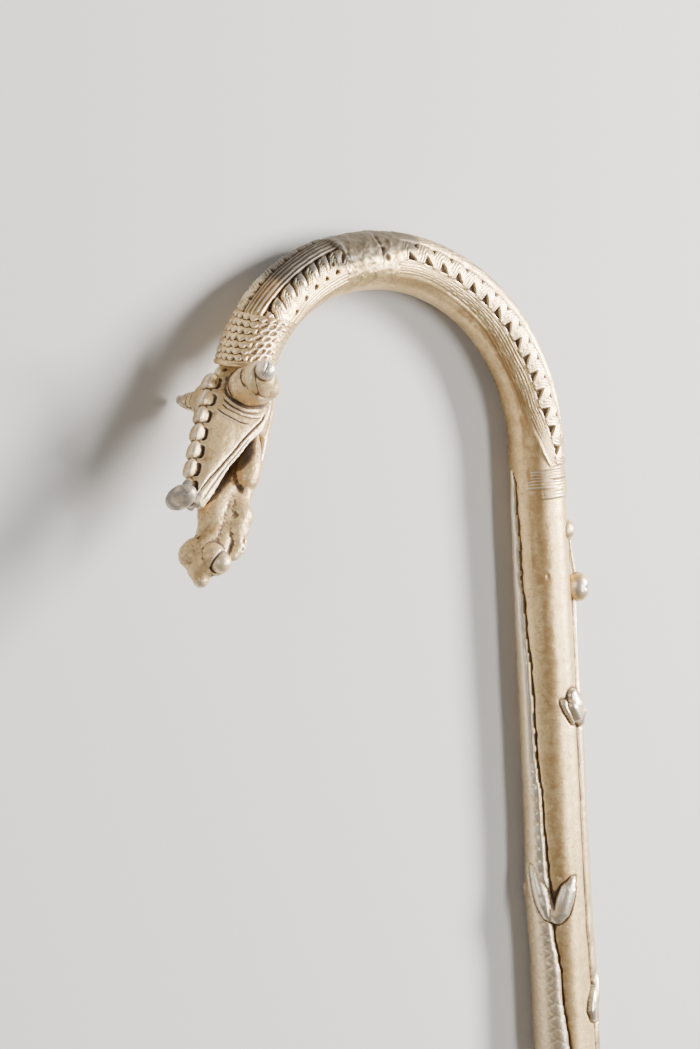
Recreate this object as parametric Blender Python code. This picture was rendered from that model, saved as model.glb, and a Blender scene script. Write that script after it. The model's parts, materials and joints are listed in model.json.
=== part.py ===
"""Ceremonial crook staff, cast in copper alloy, lying down as one closed solid.

The staff lies along Y with the plane of its crook level. The top of the crook points to +Y, the
shaft is on +X, the serpent's head is on -X, and the side that faces the viewer is up. All lengths
are in metres. Angles around the tube start at the outside of the crook and turn towards the
viewer's side, so 90 degrees is up and 270 degrees is the underside.
"""
import math

import bmesh
import bpy
from mathutils import Matrix, Vector

# Driving sizes of the tube
TUBE_RADIUS = 0.0131
CROOK_RADIUS = 0.0923
SHAFT_LENGTH = 1.095
FOOT_RADIUS = 0.0115
FOOT_TAPER_LENGTH = 0.16
NECK_ANGLE = math.radians(144.0)
LIFT_START_ANGLE = math.radians(95.0)
NECK_SLOPE = 0.332
FLAT_HALF_ANGLE = 7.5

# Carved bands along the crook
THREAD_HEIGHT = 0.0008
PIT_DEPTH = 0.0010
ZIGZAG_START = -0.0105
ZIGZAG_END_ANGLE = math.radians(83.0)
ZIGZAG_COUNT = 16
WAVE_START_ANGLE = math.radians(102.0)
SCALES_START_ANGLE = math.radians(128.5)
WAVE_COUNT = 5
SCALE_ROWS = 6
SPINE_ANGLES = ((0, 50.0), (43, 48.0), (60, 38.0), (78, 31.0), (104, 36.0), (121, 41.0), (129, 35.0), (144, 30.0))
REPAIR_HEIGHT = 0.0009
RIM_HEIGHT = 0.0016
RIM_WIDTH = 0.0026
RIM_SKEW = 0.0105
RIM_OFFSET = 0.0015

# Places around the tube, in degrees from the spine line, and how high the ridges stand there
SPINE_EDGE = 18.5
SPINE_TOP = 13.0
BAND_OFFSETS = (24.0, 37.0, 50.0)
BAND_EDGE = 56.0
NEAR_RIDGES = ((63.0, 1.0), (73.0, 0.0), (83.0, 1.0), (93.0, 0.0))
FAR_RIDGES = ((-67.0, 1.0), (-79.0, 0.0))
INNER_STEPS = 7
FAR_STEPS = 2

# Collar of threads at the top of the shaft, and a plainer one near the foot
COLLAR_START = 0.0118
COLLAR_BAND_WIDTH = 0.0036
COLLAR_BAND_STEP = 0.0052
COLLAR_BAND_COUNT = 3
COLLAR_HEIGHT = 0.0013
COLLAR_NEAR_ANGLE = 150.0
COLLAR_FAR_ANGLE = -55.0
FOOT_BAND_DISTANCE = 0.045

# Serpent's head, measured from the end of the neck's curve
HEAD_LENGTH = 0.079
CREST_LOBE_COUNT = 7
CREST_LOBE_HEIGHT = 0.0026
CREST_LOBE_HALF_WIDTH = 0.0048
EYE_PLACE = 0.020
EYE_HALF_SPAN = 0.012
NEAR_EYE_REACH = 0.0215
NEAR_EYE_KNOB = 0.0043
FAR_EYE_REACH = 0.0198
FAR_EYE_KNOB = 0.0035
MOUTH_CORNER = 0.035
JAW_LENGTH = 0.067
NOSE_HALF_WIDTH = 0.0084
NOSE_RADIUS = 0.0050

# Frog in the mouth
FROG_TURN = math.radians(57.0)
FROG_EYE_RADIUS = 0.0043

# Creatures along the shaft: A on the inner side with its tail up, B on the outer side, head up
A_ANGLE = 195.0
A_TAIL_TIP = 0.012
A_HIP = 0.214
A_SHOULDER = 0.315
A_SNOUT = 0.372
A_FAR_SHARE = 0.72
B_ANGLE = 28.0
B_KNOB = 0.040
B_HEAD = 0.070
B_SHOULDER = 0.126
B_HIP = 0.262
B_TAIL_TIP = 0.430
B_ROD_RADIUS = 0.0008
LEG_LIFT = 0.0006
LEG_FLATNESS = 0.62

METAL_COLOUR = (0.66, 0.60, 0.48, 1.0)
METAL_ROUGHNESS = 0.42
METAL_METALLIC = 0.75


def clear_scene():
    for old in list(bpy.data.objects):
        bpy.data.objects.remove(old, do_unlink=True)


def ramp(value, stops):
    """Straight lines between (place, height) stops, level beyond the first and the last."""
    if value <= stops[0][0]:
        return stops[0][1]
    for (left, low), (right, high) in zip(stops, stops[1:]):
        if value <= right:
            return low + (high - low) * (value - left) / (right - left)
    return stops[-1][1]


def tube_frame(distance):
    """Centre, along, outward and near directions at a distance up the tube from the spring line."""
    if distance <= 0.0:
        centre = Vector((CROOK_RADIUS, distance, 0.0))
        return centre, Vector((0, 1, 0)), Vector((1, 0, 0)), Vector((0, 0, 1))
    angle = min(distance / CROOK_RADIUS, NECK_ANGLE)
    rise = max(angle - LIFT_START_ANGLE, 0.0) / (NECK_ANGLE - LIFT_START_ANGLE)
    rise_length = CROOK_RADIUS * (NECK_ANGLE - LIFT_START_ANGLE)
    lift = NECK_SLOPE * rise_length * rise * rise / 2.0
    centre = Vector((CROOK_RADIUS * math.cos(angle), CROOK_RADIUS * math.sin(angle), lift))
    along = Vector((-math.sin(angle), math.cos(angle), NECK_SLOPE * rise)).normalized()
    outward = Vector((math.cos(angle), math.sin(angle), 0.0))
    centre += along * max(distance - CROOK_RADIUS * NECK_ANGLE, 0.0)
    return centre, along, outward, outward.cross(along)


def tube_point(distance, degrees, radius):
    centre, _, outward, near = tube_frame(distance)
    turn = math.radians(degrees)
    return centre + (outward * math.cos(turn) + near * math.sin(turn)) * radius


def shaft_point(below, degrees, lift=0.0):
    """A point on the shaft, at a distance below the spring line and a height off its surface."""
    return tube_point(-below, degrees, TUBE_RADIUS + lift)


def head_point(along_head, up, side):
    """A point of the head: along it from the neck, towards its crest, and to the viewer's side."""
    centre, along, outward, near = tube_frame(CROOK_RADIUS * NECK_ANGLE)
    return centre + along * along_head + outward * up + near * side


def head_axes():
    """The head's own directions: along it, towards its crest, and to the viewer's side."""
    return tube_frame(CROOK_RADIUS * NECK_ANGLE)[1:]


def spine_angle(distance):
    """The carved spine wanders around the tube between the collar and the neck."""
    return ramp(math.degrees(distance / CROOK_RADIUS), SPINE_ANGLES)


def places_around(distance):
    """Angles around the tube with the kind of carving at each, going round once from the spine."""
    spine = spine_angle(distance)
    places = [(-SPINE_TOP, "spine", 1.0), (SPINE_TOP, "spine", 1.0), (SPINE_EDGE, "edge", 0.0)]
    for number, offset in enumerate(BAND_OFFSETS):
        places.append((offset, "band", number - 1.0))
    places.append((BAND_EDGE, "edge", 0.0))
    for offset, height in NEAR_RIDGES:
        places.append((offset, "ridge", height))
    turned = [(spine + offset, kind, value) for offset, kind, value in places]
    plain_start = turned[-1][0]
    flat_start = 270.0 - FLAT_HALF_ANGLE
    flat_end = 270.0 + FLAT_HALF_ANGLE
    for step in range(1, INNER_STEPS + 1):
        turned.append((plain_start + (flat_start - plain_start) * step / INNER_STEPS, "plain", 0.0))
    far_ridge_end = 360.0 + spine + FAR_RIDGES[-1][0]
    for step in range(FAR_STEPS):
        turned.append((flat_end + (far_ridge_end - flat_end) * step / FAR_STEPS, "plain", 0.0))
    for offset, height in reversed(FAR_RIDGES):
        turned.append((360.0 + spine + offset, "ridge", height))
    turned.append((360.0 + spine - BAND_EDGE, "edge", 0.0))
    for number, offset in enumerate(reversed(BAND_OFFSETS)):
        turned.append((360.0 + spine - offset, "band", 1.0 - number))
    turned.append((360.0 + spine - SPINE_EDGE, "edge", 0.0))
    return turned


def zigzag(bend, place):
    """Height of the ribbon that swings from edge to edge of its band, with a pit inside each bend."""
    pit_side = -1.0 if bend % 2 == 0 else 1.0
    return -PIT_DEPTH if place == pit_side else THREAD_HEIGHT


def carved(ring, kind, value, degrees, number):
    """Height of the carving at one place of one ring."""
    distance, style, phase = ring
    if style == "pattern":
        if kind == "band":
            return zigzag(phase, value)
        fade = ramp(distance, [(ZIGZAG_START, 0.3), (0.04, 1.0)])
        return THREAD_HEIGHT * value * (fade if kind == "ridge" else 1.0)
    if style == "repair" and kind != "plain":
        return REPAIR_HEIGHT * (0.6 + 0.4 * math.sin(3.0 * number + 5.0 * phase))
    if style == "scales" and kind != "plain":
        stagger = 1.0 if (number + int(phase)) % 2 else 0.5
        return THREAD_HEIGHT * 1.2 * stagger * (2.0 * (phase % 1.0))
    if style == "rim":
        return RIM_HEIGHT * phase * (0.45 if kind == "plain" else 1.0)
    if style == "collar":
        turn = degrees if degrees < 180.0 else degrees - 360.0
        covered = COLLAR_FAR_ANGLE < turn < COLLAR_NEAR_ANGLE
        return COLLAR_HEIGHT * phase if covered else 0.0
    return COLLAR_HEIGHT * phase if style == "foot band" else 0.0


def shaft_rings():
    """Rings from the foot up to the carving: distance, style and height or phase."""
    foot = -SHAFT_LENGTH
    rings = [(foot, "end", 0.0), (foot + 0.0015, "plain", 0.0)]
    band = foot + FOOT_BAND_DISTANCE
    for number in range(2):
        rings += [(band + number * 0.006, "foot band", 0.0), (band + number * 0.006 + 0.003, "foot band", 0.6)]
    rings.append((band + 0.012, "foot band", 0.0))
    taper_top = foot + FOOT_TAPER_LENGTH
    collar_bottom = -COLLAR_START - COLLAR_BAND_COUNT * COLLAR_BAND_STEP
    plain_steps = 5
    for step in range(plain_steps):
        rings.append((taper_top + (collar_bottom - 0.01 - taper_top) * step / plain_steps, "plain", 0.0))
    for number in range(COLLAR_BAND_COUNT):
        low = collar_bottom + number * COLLAR_BAND_STEP
        gap = COLLAR_BAND_STEP - COLLAR_BAND_WIDTH
        rings += [(low + gap * 0.5, "collar", 0.0), (low + gap, "collar", 1.0)]
        rings.append((low + COLLAR_BAND_STEP - gap * 0.5, "collar", 1.0))
    rings.append((-COLLAR_START + 0.0006, "collar", 0.0))
    return rings


def pattern_rings(start, end, count):
    steps = 2 * count
    return [(start + (end - start) * step / steps, "pattern", step) for step in range(steps + 1)]


def crook_rings():
    """Rings along the crook: zigzag, repair, waves, scales and the rim of the neck."""
    rings = pattern_rings(ZIGZAG_START, CROOK_RADIUS * ZIGZAG_END_ANGLE, ZIGZAG_COUNT)
    repair_start = CROOK_RADIUS * ZIGZAG_END_ANGLE
    repair_end = CROOK_RADIUS * WAVE_START_ANGLE
    repair_steps = 7
    for step in range(1, repair_steps):
        rings.append((repair_start + (repair_end - repair_start) * step / repair_steps, "repair", step))
    scales_start = CROOK_RADIUS * SCALES_START_ANGLE
    rings += pattern_rings(repair_end, scales_start, WAVE_COUNT)
    rim = CROOK_RADIUS * NECK_ANGLE + RIM_OFFSET
    row = (rim - RIM_WIDTH - scales_start) / SCALE_ROWS
    for number in range(SCALE_ROWS):
        rings.append((scales_start + row * (number + 0.15), "scales", number + 0.05))
        rings.append((scales_start + row * (number + 0.85), "scales", number + 0.5))
    rings += [(rim - RIM_WIDTH, "rim", 0.4), (rim - RIM_WIDTH * 0.6, "rim", 1.0), (rim, "rim", 1.0)]
    rings.append((rim + 0.0006, "rim", -1.2))
    return rings


def ring_skew(distance):
    """The rows near the head slant, so that the scaly nape reaches furthest along the spine."""
    straight = CROOK_RADIUS * WAVE_START_ANGLE
    return RIM_SKEW * ramp(distance, [(straight, 0.0), (CROOK_RADIUS * SCALES_START_ANGLE, 1.0)])


def plain_radius(distance):
    foot = -SHAFT_LENGTH
    return ramp(distance, [(foot, FOOT_RADIUS - 0.0012), (foot + 0.0015, FOOT_RADIUS),
                           (foot + FOOT_TAPER_LENGTH, TUBE_RADIUS)])


def solid(name, rings, material, first_centre=None, last_centre=None):
    """A closed mesh through rings of points. An end with no centre given is one flat face."""
    mesh = bmesh.new()
    loops = [[mesh.verts.new(point) for point in ring] for ring in rings]
    count = len(loops[0])
    for lower, upper in zip(loops, loops[1:]):
        for i in range(count):
            j = (i + 1) % count
            mesh.faces.new((lower[i], lower[j], upper[j], upper[i]))
    for loop, centre in ((loops[0], first_centre), (loops[-1], last_centre)):
        if centre is None:
            mesh.faces.new(loop)
            continue
        middle = mesh.verts.new(centre)
        for i in range(count):
            mesh.faces.new((loop[i], loop[(i + 1) % count], middle))
    return finished(name, mesh, material)


def finished(name, mesh, material):
    bmesh.ops.recalc_face_normals(mesh, faces=mesh.faces)
    data = bpy.data.meshes.new(name)
    mesh.to_mesh(data)
    mesh.free()
    data.materials.append(material)
    made = bpy.data.objects.new(name, data)
    bpy.context.scene.collection.objects.link(made)
    return made


def middle_of(points):
    return sum(points, Vector()) / len(points)


def ellipsoid(name, centre, axes, material, segments=10, rings=6):
    """A ball stretched along three given half axes."""
    matrix = Matrix.Translation(centre) @ Matrix(axes).transposed().to_4x4()
    mesh = bmesh.new()
    bmesh.ops.create_uvsphere(mesh, u_segments=segments, v_segments=rings, radius=1.0, matrix=matrix)
    return finished(name, mesh, material)


def turned(name, base, axis, profile, material, sides=12):
    """A shape turned about an axis from (distance along it, radius) pairs."""
    axis = axis.normalized()
    across = axis.orthogonal().normalized()
    other = axis.cross(across)
    rings = []
    for place, radius in profile:
        ring = []
        for i in range(sides):
            turn = 2.0 * math.pi * i / sides
            ring.append(base + axis * place + (across * math.cos(turn) + other * math.sin(turn)) * radius)
        rings.append(ring)
    return solid(name, rings, material, middle_of(rings[0]), middle_of(rings[-1]))


def limb(name, points, radii, material, sides=8, ups=None, flatness=1.0):
    """A rounded limb through a few points, with its own radius and its own way up at each."""
    rings = []
    ups = ups or [Vector((0.31, 0.17, 0.93))] * len(points)
    for i, (point, radius, up) in enumerate(zip(points, radii, ups)):
        ahead = points[min(i + 1, len(points) - 1)]
        behind = points[max(i - 1, 0)]
        direction = (ahead - behind).normalized()
        across = direction.cross(up).normalized()
        other = direction.cross(across)
        ends = {0: (-0.8, 0.0), len(points) - 1: (0.0, 0.8)}.get(i, (0.0, 0.0))
        for slide, size in ((ends[0], 0.55), (0.0, 1.0), (ends[1], 0.55)):
            if size < 1.0 and slide == 0.0:
                continue
            centre = point + direction * radius * slide
            rings.append([centre + (across * math.cos(2.0 * math.pi * k / sides)
                                    + other * math.sin(2.0 * math.pi * k / sides) * flatness) * radius * size
                          for k in range(sides)])
    return solid(name, rings, material, middle_of(rings[0]), middle_of(rings[-1]))


def shaft_limb(name, places, radii, material):
    """A leg lying on the shaft, through pairs of distance below the spring line and angle."""
    points = [shaft_point(below, degrees, LEG_LIFT) for below, degrees in places]
    ups = [shaft_point(below, degrees, 1.0) - shaft_point(below, degrees) for below, degrees in places]
    return limb(name, points, radii, material, 8, ups, LEG_FLATNESS)


def wrapped(name, degrees, stations, material, far_share=1.0, steps=5):
    """A low body lying along the shaft: stations of distance, half width and height."""
    rings = []
    root = 0.0012
    for below, half_width, height in stations:
        half = math.degrees(half_width / TUBE_RADIUS)
        ring = []
        for step in range(steps + 1):
            turn = math.pi * step / steps
            reach = half * (1.0 if 2 * step < steps else far_share)
            ring.append(shaft_point(below, degrees - reach * math.cos(turn), height * math.sin(turn) ** 0.7))
        ring.append(shaft_point(below, degrees + half * far_share * 0.8, -root))
        ring.append(shaft_point(below, degrees - half * 0.8, -root))
        rings.append(ring)
    return solid(name, rings, material, middle_of(rings[0]), middle_of(rings[-1]))


def make_tube(material):
    rings = []
    for ring in shaft_rings() + crook_rings():
        distance = ring[0]
        spine = spine_angle(distance)
        points = []
        for number, (degrees, kind, value) in enumerate(places_around(distance)):
            slanted = distance + ring_skew(distance) * math.cos(math.radians(degrees - spine))
            radius = plain_radius(distance) + carved(ring, kind, value, degrees, number)
            points.append(tube_point(slanted, degrees, radius))
        rings.append(points)
    return solid("staff", rings, material, None, middle_of(rings[-1]))


def skull_top(place):
    """Height of the ridge of the head, which arches between the eyes and the nose."""
    return ramp(place, [(-0.006, 0.0080), (0.014, 0.0102), (0.028, 0.0126), (0.041, 0.0142),
                        (0.055, 0.0132), (0.066, 0.0116), (HEAD_LENGTH, 0.0086)])


def skull_section(place):
    """Half of the head's section at a place along it, from the crest down: height and half width."""
    mm = place * 1000.0
    top = skull_top(place) * 1000.0
    side = ramp(mm, [(-6.0, 9.0), (12.0, 12.0), (34.0, 11.5), (54.0, 9.0), (74.0, 5.6), (79.0, 3.6)])
    lip = ramp(mm, [(-6.0, -6.5), (12.0, -9.5), (24.0, -12.0), (34.0, -10.2), (42.0, -6.8), (50.0, -4.3),
                    (66.0, -0.1), (77.0, 1.8)])
    groove = lip + ramp(mm, [(26.0, 2.4), (50.0, 3.6), (66.0, 5.2), (72.0, 6.0), (79.0, 3.0)])
    half = [(top, 1.8), (top - 2.2, 3.4), (groove + 0.9, side), (groove, side - 1.0),
            (groove - 0.9, side + 0.6), (lip, side + 0.3)]
    if place < MOUTH_CORNER:
        throat = ramp(mm, [(-6.0, -10.0), (12.0, -16.0), (35.0, -18.0)])
        half += [(throat + 2.5, side * 0.68)]
        keel = throat
    else:
        half += [(lip + 0.8, side - 2.4)]
        keel = lip + 1.8
    return [(u / 1000.0, w / 1000.0) for u, w in half], keel / 1000.0


def make_skull(material):
    places = [-0.006, 0.004, 0.014, 0.024, MOUTH_CORNER - 0.0005, MOUTH_CORNER + 0.0005,
              0.045, 0.055, 0.065, 0.074, HEAD_LENGTH]
    rings = []
    for place in places:
        half, keel = skull_section(place)
        ring = [head_point(place, u, w) for u, w in half]
        ring.append(head_point(place, keel, 0.0))
        ring += [head_point(place, u, -w) for u, w in reversed(half)]
        rings.append(ring)
    return solid("skull", rings, material, middle_of(rings[0]), middle_of(rings[-1]))


def make_lower_jaw(material):
    rings = []
    for place in (0.008, 0.020, 0.034, 0.047, 0.059, JAW_LENGTH):
        mm = place * 1000.0
        low = ramp(mm, [(8.0, -15.5), (20.0, -19.0), (34.0, -20.6), (47.0, -22.2), (59.0, -21.9), (67.0, -20.0)])
        half = ramp(mm, [(8.0, 8.0), (20.0, 8.6), (36.0, 8.2), (59.0, 5.5), (67.0, 2.6)])
        wall = ramp(mm, [(20.0, 5.5), (36.0, 3.6), (47.0, 2.2)])
        outer = [(low, 0.0), (low + 1.0, 0.7 * half), (low + 4.2, half)]
        inner = [(low + wall + 2.2, half - 1.4), (low + wall + 0.4, 0.5 * half)]
        points = outer + inner + [(low + wall, 0.0)] + [(u, -w) for u, w in reversed(inner)]
        points += [(u, -w) for u, w in reversed(outer[1:])]
        rings.append([head_point(place, u / 1000.0, w / 1000.0) for u, w in points])
    return solid("lower_jaw", rings, material, middle_of(rings[0]), middle_of(rings[-1]))


def make_crest(material):
    made = []
    first = 0.0150
    last = 0.0690
    for number in range(CREST_LOBE_COUNT):
        place = first + (last - first) * number / (CREST_LOBE_COUNT - 1)
        along, up, side = head_axes()
        slope = (skull_top(place + 0.004) - skull_top(place - 0.004)) / 0.008
        lean = (along + up * (slope + 0.10)).normalized()
        axes = (lean * 0.0054, up * CREST_LOBE_HEIGHT, side * CREST_LOBE_HALF_WIDTH)
        centre = head_point(place, skull_top(place) - 0.0006, 0.0)
        made.append(ellipsoid("crest_lobe_%d" % (number + 1), centre, axes, material, 8, 5))
    return made


def make_eyes(material):
    """Two stepped cones with a polished knob at the tip, ringed by ridges at the foot."""
    made = []
    for side, name, reach, knob in ((1.0, "near_eye", NEAR_EYE_REACH, NEAR_EYE_KNOB),
                                    (-1.0, "far_eye", FAR_EYE_REACH, FAR_EYE_KNOB)):
        profile = [(-0.0070, 0.0120), (-0.0022, 0.0135), (-0.0004, 0.0122), (0.0006, 0.0100), (0.0045, 0.0091),
                   (reach - 0.0125, 0.0072), (reach - 0.0085, 0.0056), (reach - 0.0075, knob * 0.85),
                   (reach - 0.0050, knob), (reach - 0.0022, knob * 0.92), (reach, knob * 0.45)]
        base = head_point(EYE_PLACE, 0.0005, side * EYE_HALF_SPAN)
        tip = head_point(EYE_PLACE - 0.0018, 0.0072, side * (EYE_HALF_SPAN + 0.015))
        made.append(turned(name, base, tip - base, profile, material, 12))
    return made


def make_nose(material):
    along, up, side = head_axes()
    axes = (side * NOSE_HALF_WIDTH, up * NOSE_RADIUS, along * NOSE_RADIUS)
    return [ellipsoid("nose", head_point(HEAD_LENGTH - 0.0012, 0.0108, 0.0), axes, material, 10, 7)]


def frog_point(place, across, above):
    """A point of the frog, which lies turned about the head's length with its back to the viewer."""
    droop = ramp(place, [(0.080, 0.0), (0.107, 0.0026)])
    up = -0.0076 - droop - across * math.sin(FROG_TURN) + above * math.cos(FROG_TURN)
    side = 0.0010 + across * math.cos(FROG_TURN) + above * math.sin(FROG_TURN)
    return head_point(place, up, side)


def make_frog(material):
    """The frog that the head swallows: it has its back to the viewer and its hind end in the mouth."""
    body = [frog_point(place, 0.0, 0.0) for place in (0.042, 0.056, 0.073, 0.085)]
    head = [frog_point(place, 0.0, 0.0) for place in (0.089, 0.097, 0.1062)]
    made = [limb("frog_body", body, [0.0056, 0.0074, 0.0078, 0.0064], material, 10),
            limb("frog_head", head, [0.0062, 0.0080, 0.0042], material, 10)]
    for side, name, reach, lift in ((1.0, "near", 0.0086, 0.0034), (-1.0, "far", 0.0078, -0.0010)):
        socket = [frog_point(0.0925, side * 0.0038, 0.0002), frog_point(0.0970, side * 0.0066, 0.0008)]
        made.append(limb("frog_%s_socket" % name, socket, [0.0056, 0.0060], material, 8))
        ball = Matrix.Identity(3) * FROG_EYE_RADIUS
        centre = frog_point(0.0985, side * reach, lift)
        made.append(ellipsoid("frog_%s_eyeball" % name, centre, ball, material, 8, 6))
    limbs = {
        "near_thigh": ([(0.031, -0.0126, 0.0072), (0.044, -0.0135, 0.0080), (0.057, -0.0125, 0.0082)],
                       [0.0026, 0.0046, 0.0058]),
        "near_shin": ([(0.060, -0.0150, 0.0062), (0.068, -0.0160, 0.0052)], [0.0028, 0.0030]),
        "near_arm": ([(0.069, -0.0160, 0.0052), (0.077, -0.0175, 0.0054), (0.086, -0.0215, 0.0044)],
                     [0.0060, 0.0060, 0.0036]),
        "far_thigh": ([(0.036, -0.0130, -0.0070), (0.056, -0.0125, -0.0064)], [0.0030, 0.0050]),
        "far_arm": ([(0.068, -0.0110, -0.0050), (0.083, -0.0130, -0.0060)], [0.0046, 0.0032]),
    }
    for name, (places, radii) in limbs.items():
        made.append(limb("frog_" + name, [head_point(*place) for place in places], radii, material, 8))
    return made


def make_creature_a(material):
    """Tail up on the inner side: a ridge that widens to the hips, a body, and a head pointing down."""
    tail = [(A_TAIL_TIP, 0.0012, 0.0008), (0.030, 0.0022, 0.0018), (0.075, 0.0034, 0.0022),
            (0.125, 0.0054, 0.0026), (0.175, 0.0068, 0.0030), (A_HIP - 0.012, 0.0086, 0.0040)]
    body = [(A_HIP + 0.006, 0.0096, 0.0044), (A_HIP + 0.030, 0.0120, 0.0036), (A_SHOULDER - 0.035, 0.0132, 0.0042),
            (A_SHOULDER, 0.0100, 0.0040), (A_SHOULDER + 0.014, 0.0060, 0.0030), (A_SHOULDER + 0.028, 0.0084, 0.0044),
            (A_SNOUT - 0.010, 0.0056, 0.0034), (A_SNOUT, 0.0026, 0.0018)]
    made = [wrapped("creature_a", A_ANGLE, tail + body, material, A_FAR_SHARE)]
    for hip, name in ((A_HIP, "hind"), (A_SHOULDER, "fore")):
        near = [(-0.004, -14.0), (0.008, -30.0), (0.0135, -50.0), (0.010, -70.0), (0.000, -86.0), (-0.009, -100.0)]
        far = [(-0.001, 18.0), (0.010, 32.0)]
        for side, places, radii in (("near", near, [0.0030, 0.0034, 0.0036, 0.0034, 0.0030, 0.0020]),
                                    ("far", far, [0.0030, 0.0020])):
            leg = [(hip + below, A_ANGLE + turn) for below, turn in places]
            made.append(shaft_limb("creature_a_%s_%s_leg" % (side, name), leg, radii, material))
    return made


def make_creature_b(material):
    """Head up on the outer side: a ball of a head with a thin rod in its mouth, a body, legs and tail."""
    body = [(B_HEAD + 0.008, 0.0022, 0.0016), (B_HEAD + 0.028, 0.0030, 0.0016), (B_SHOULDER - 0.012, 0.0040, 0.0018),
            (B_SHOULDER, 0.0062, 0.0028), (B_SHOULDER + 0.050, 0.0078, 0.0022), (B_HIP - 0.030, 0.0078, 0.0022),
            (B_HIP, 0.0066, 0.0030), (B_HIP + 0.020, 0.0044, 0.0024), (B_TAIL_TIP - 0.060, 0.0026, 0.0016),
            (B_TAIL_TIP, 0.0010, 0.0006)]
    made = [wrapped("creature_b", B_ANGLE, body, material)]
    out = shaft_point(B_HEAD, B_ANGLE, 1.0) - shaft_point(B_HEAD, B_ANGLE, 0.0)
    along = Vector((0.0, 1.0, 0.0))
    axes = (out * 0.0056, along * 0.0062, out.cross(along) * 0.0050)
    made.append(ellipsoid("creature_b_head", shaft_point(B_HEAD, B_ANGLE, 0.0036), axes, material, 10, 8))
    rod = [shaft_point(B_KNOB, B_ANGLE, -0.0004), shaft_point(B_HEAD - 0.014, B_ANGLE, 0.0014),
           shaft_point(B_HEAD, B_ANGLE, 0.0034)]
    made.append(limb("creature_b_rod", rod, [B_ROD_RADIUS] * 3, material, 6))
    knob = [(-0.0010, 0.0030), (0.0010, 0.0028), (0.0025, 0.0016)]
    made.append(turned("creature_b_knob", shaft_point(B_KNOB, B_ANGLE + 8.0, 0.0), out, knob, material, 8))
    fore = [(0.005, 6.0), (0.001, 30.0), (-0.004, 60.0)]
    hind = [(0.013, 10.0), (0.009, 30.0), (0.000, 42.0), (-0.008, 30.0), (-0.012, 10.0)]
    for hip, name, places, radii in ((B_SHOULDER, "fore", fore, [0.0044, 0.0044, 0.0026]),
                                     (B_HIP, "hind", hind, [0.0026, 0.0030, 0.0030, 0.0028, 0.0024])):
        for side, word in ((1.0, "near"), (-1.0, "far")):
            leg = [(hip + below, B_ANGLE + side * turn) for below, turn in places]
            made.append(shaft_limb("creature_b_%s_%s_leg" % (word, name), leg, radii, material))
    return made


def unite(base, others):
    """Joins the wax additions to the tube, so that the casting is one closed body."""
    group = bpy.data.collections.new("wax_additions")
    bpy.context.scene.collection.children.link(group)
    for other in others:
        bpy.context.scene.collection.objects.unlink(other)
        group.objects.link(other)
        other.hide_render = True
        other.display_type = "WIRE"
    union = base.modifiers.new("one_casting", "BOOLEAN")
    union.operation = "UNION"
    union.operand_type = "COLLECTION"
    union.collection = group
    union.solver = "EXACT"


def stand_on_floor(everything, staff):
    """Moves the whole casting so that the floor is at zero and the middle of its box is the origin."""
    graph = bpy.context.evaluated_depsgraph_get()
    shape = staff.evaluated_get(graph).to_mesh()
    corners = [vertex.co for vertex in shape.vertices]
    low = Vector([min(corner[i] for corner in corners) for i in range(3)])
    high = Vector([max(corner[i] for corner in corners) for i in range(3)])
    move = Vector((-(low.x + high.x) / 2.0, -(low.y + high.y) / 2.0, -low.z))
    for item in everything:
        item.location = move


def cast_metal():
    material = bpy.data.materials.new("worn_copper_alloy")
    material.use_nodes = True
    shader = material.node_tree.nodes["Principled BSDF"]
    shader.inputs["Base Color"].default_value = METAL_COLOUR
    shader.inputs["Roughness"].default_value = METAL_ROUGHNESS
    shader.inputs["Metallic"].default_value = METAL_METALLIC
    material.diffuse_color = METAL_COLOUR
    return material


def build():
    clear_scene()
    metal = cast_metal()
    staff = make_tube(metal)
    additions = [make_skull(metal), make_lower_jaw(metal)]
    additions += make_crest(metal)
    additions += make_eyes(metal)
    additions += make_nose(metal)
    additions += make_frog(metal)
    additions += make_creature_a(metal)
    additions += make_creature_b(metal)
    unite(staff, additions)
    stand_on_floor([staff] + additions, staff)
    staff.data.set_sharp_from_angle(angle=math.radians(40.0))


build()
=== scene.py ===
# %% [markdown]
# # A crook staff, cast in one piece
# The real staff was modelled in wax over a clay core: a plain tube, with threads of wax laid on it
# in zigzags, and a serpent's head, a frog and two lizards built up from rolls and pellets of wax.
# The wax was then replaced by metal in one pour. This lesson repeats those steps. The tube is a
# grid of points whose height is worked out place by place, the way threads are laid on wax. The
# head and the frog are rolls and balls pressed together and smoothed into one skin.

# %% Load the frame
import json
import math

import bmesh
import bpy
import numpy as np
from mathutils import Matrix, Vector, noise


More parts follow.
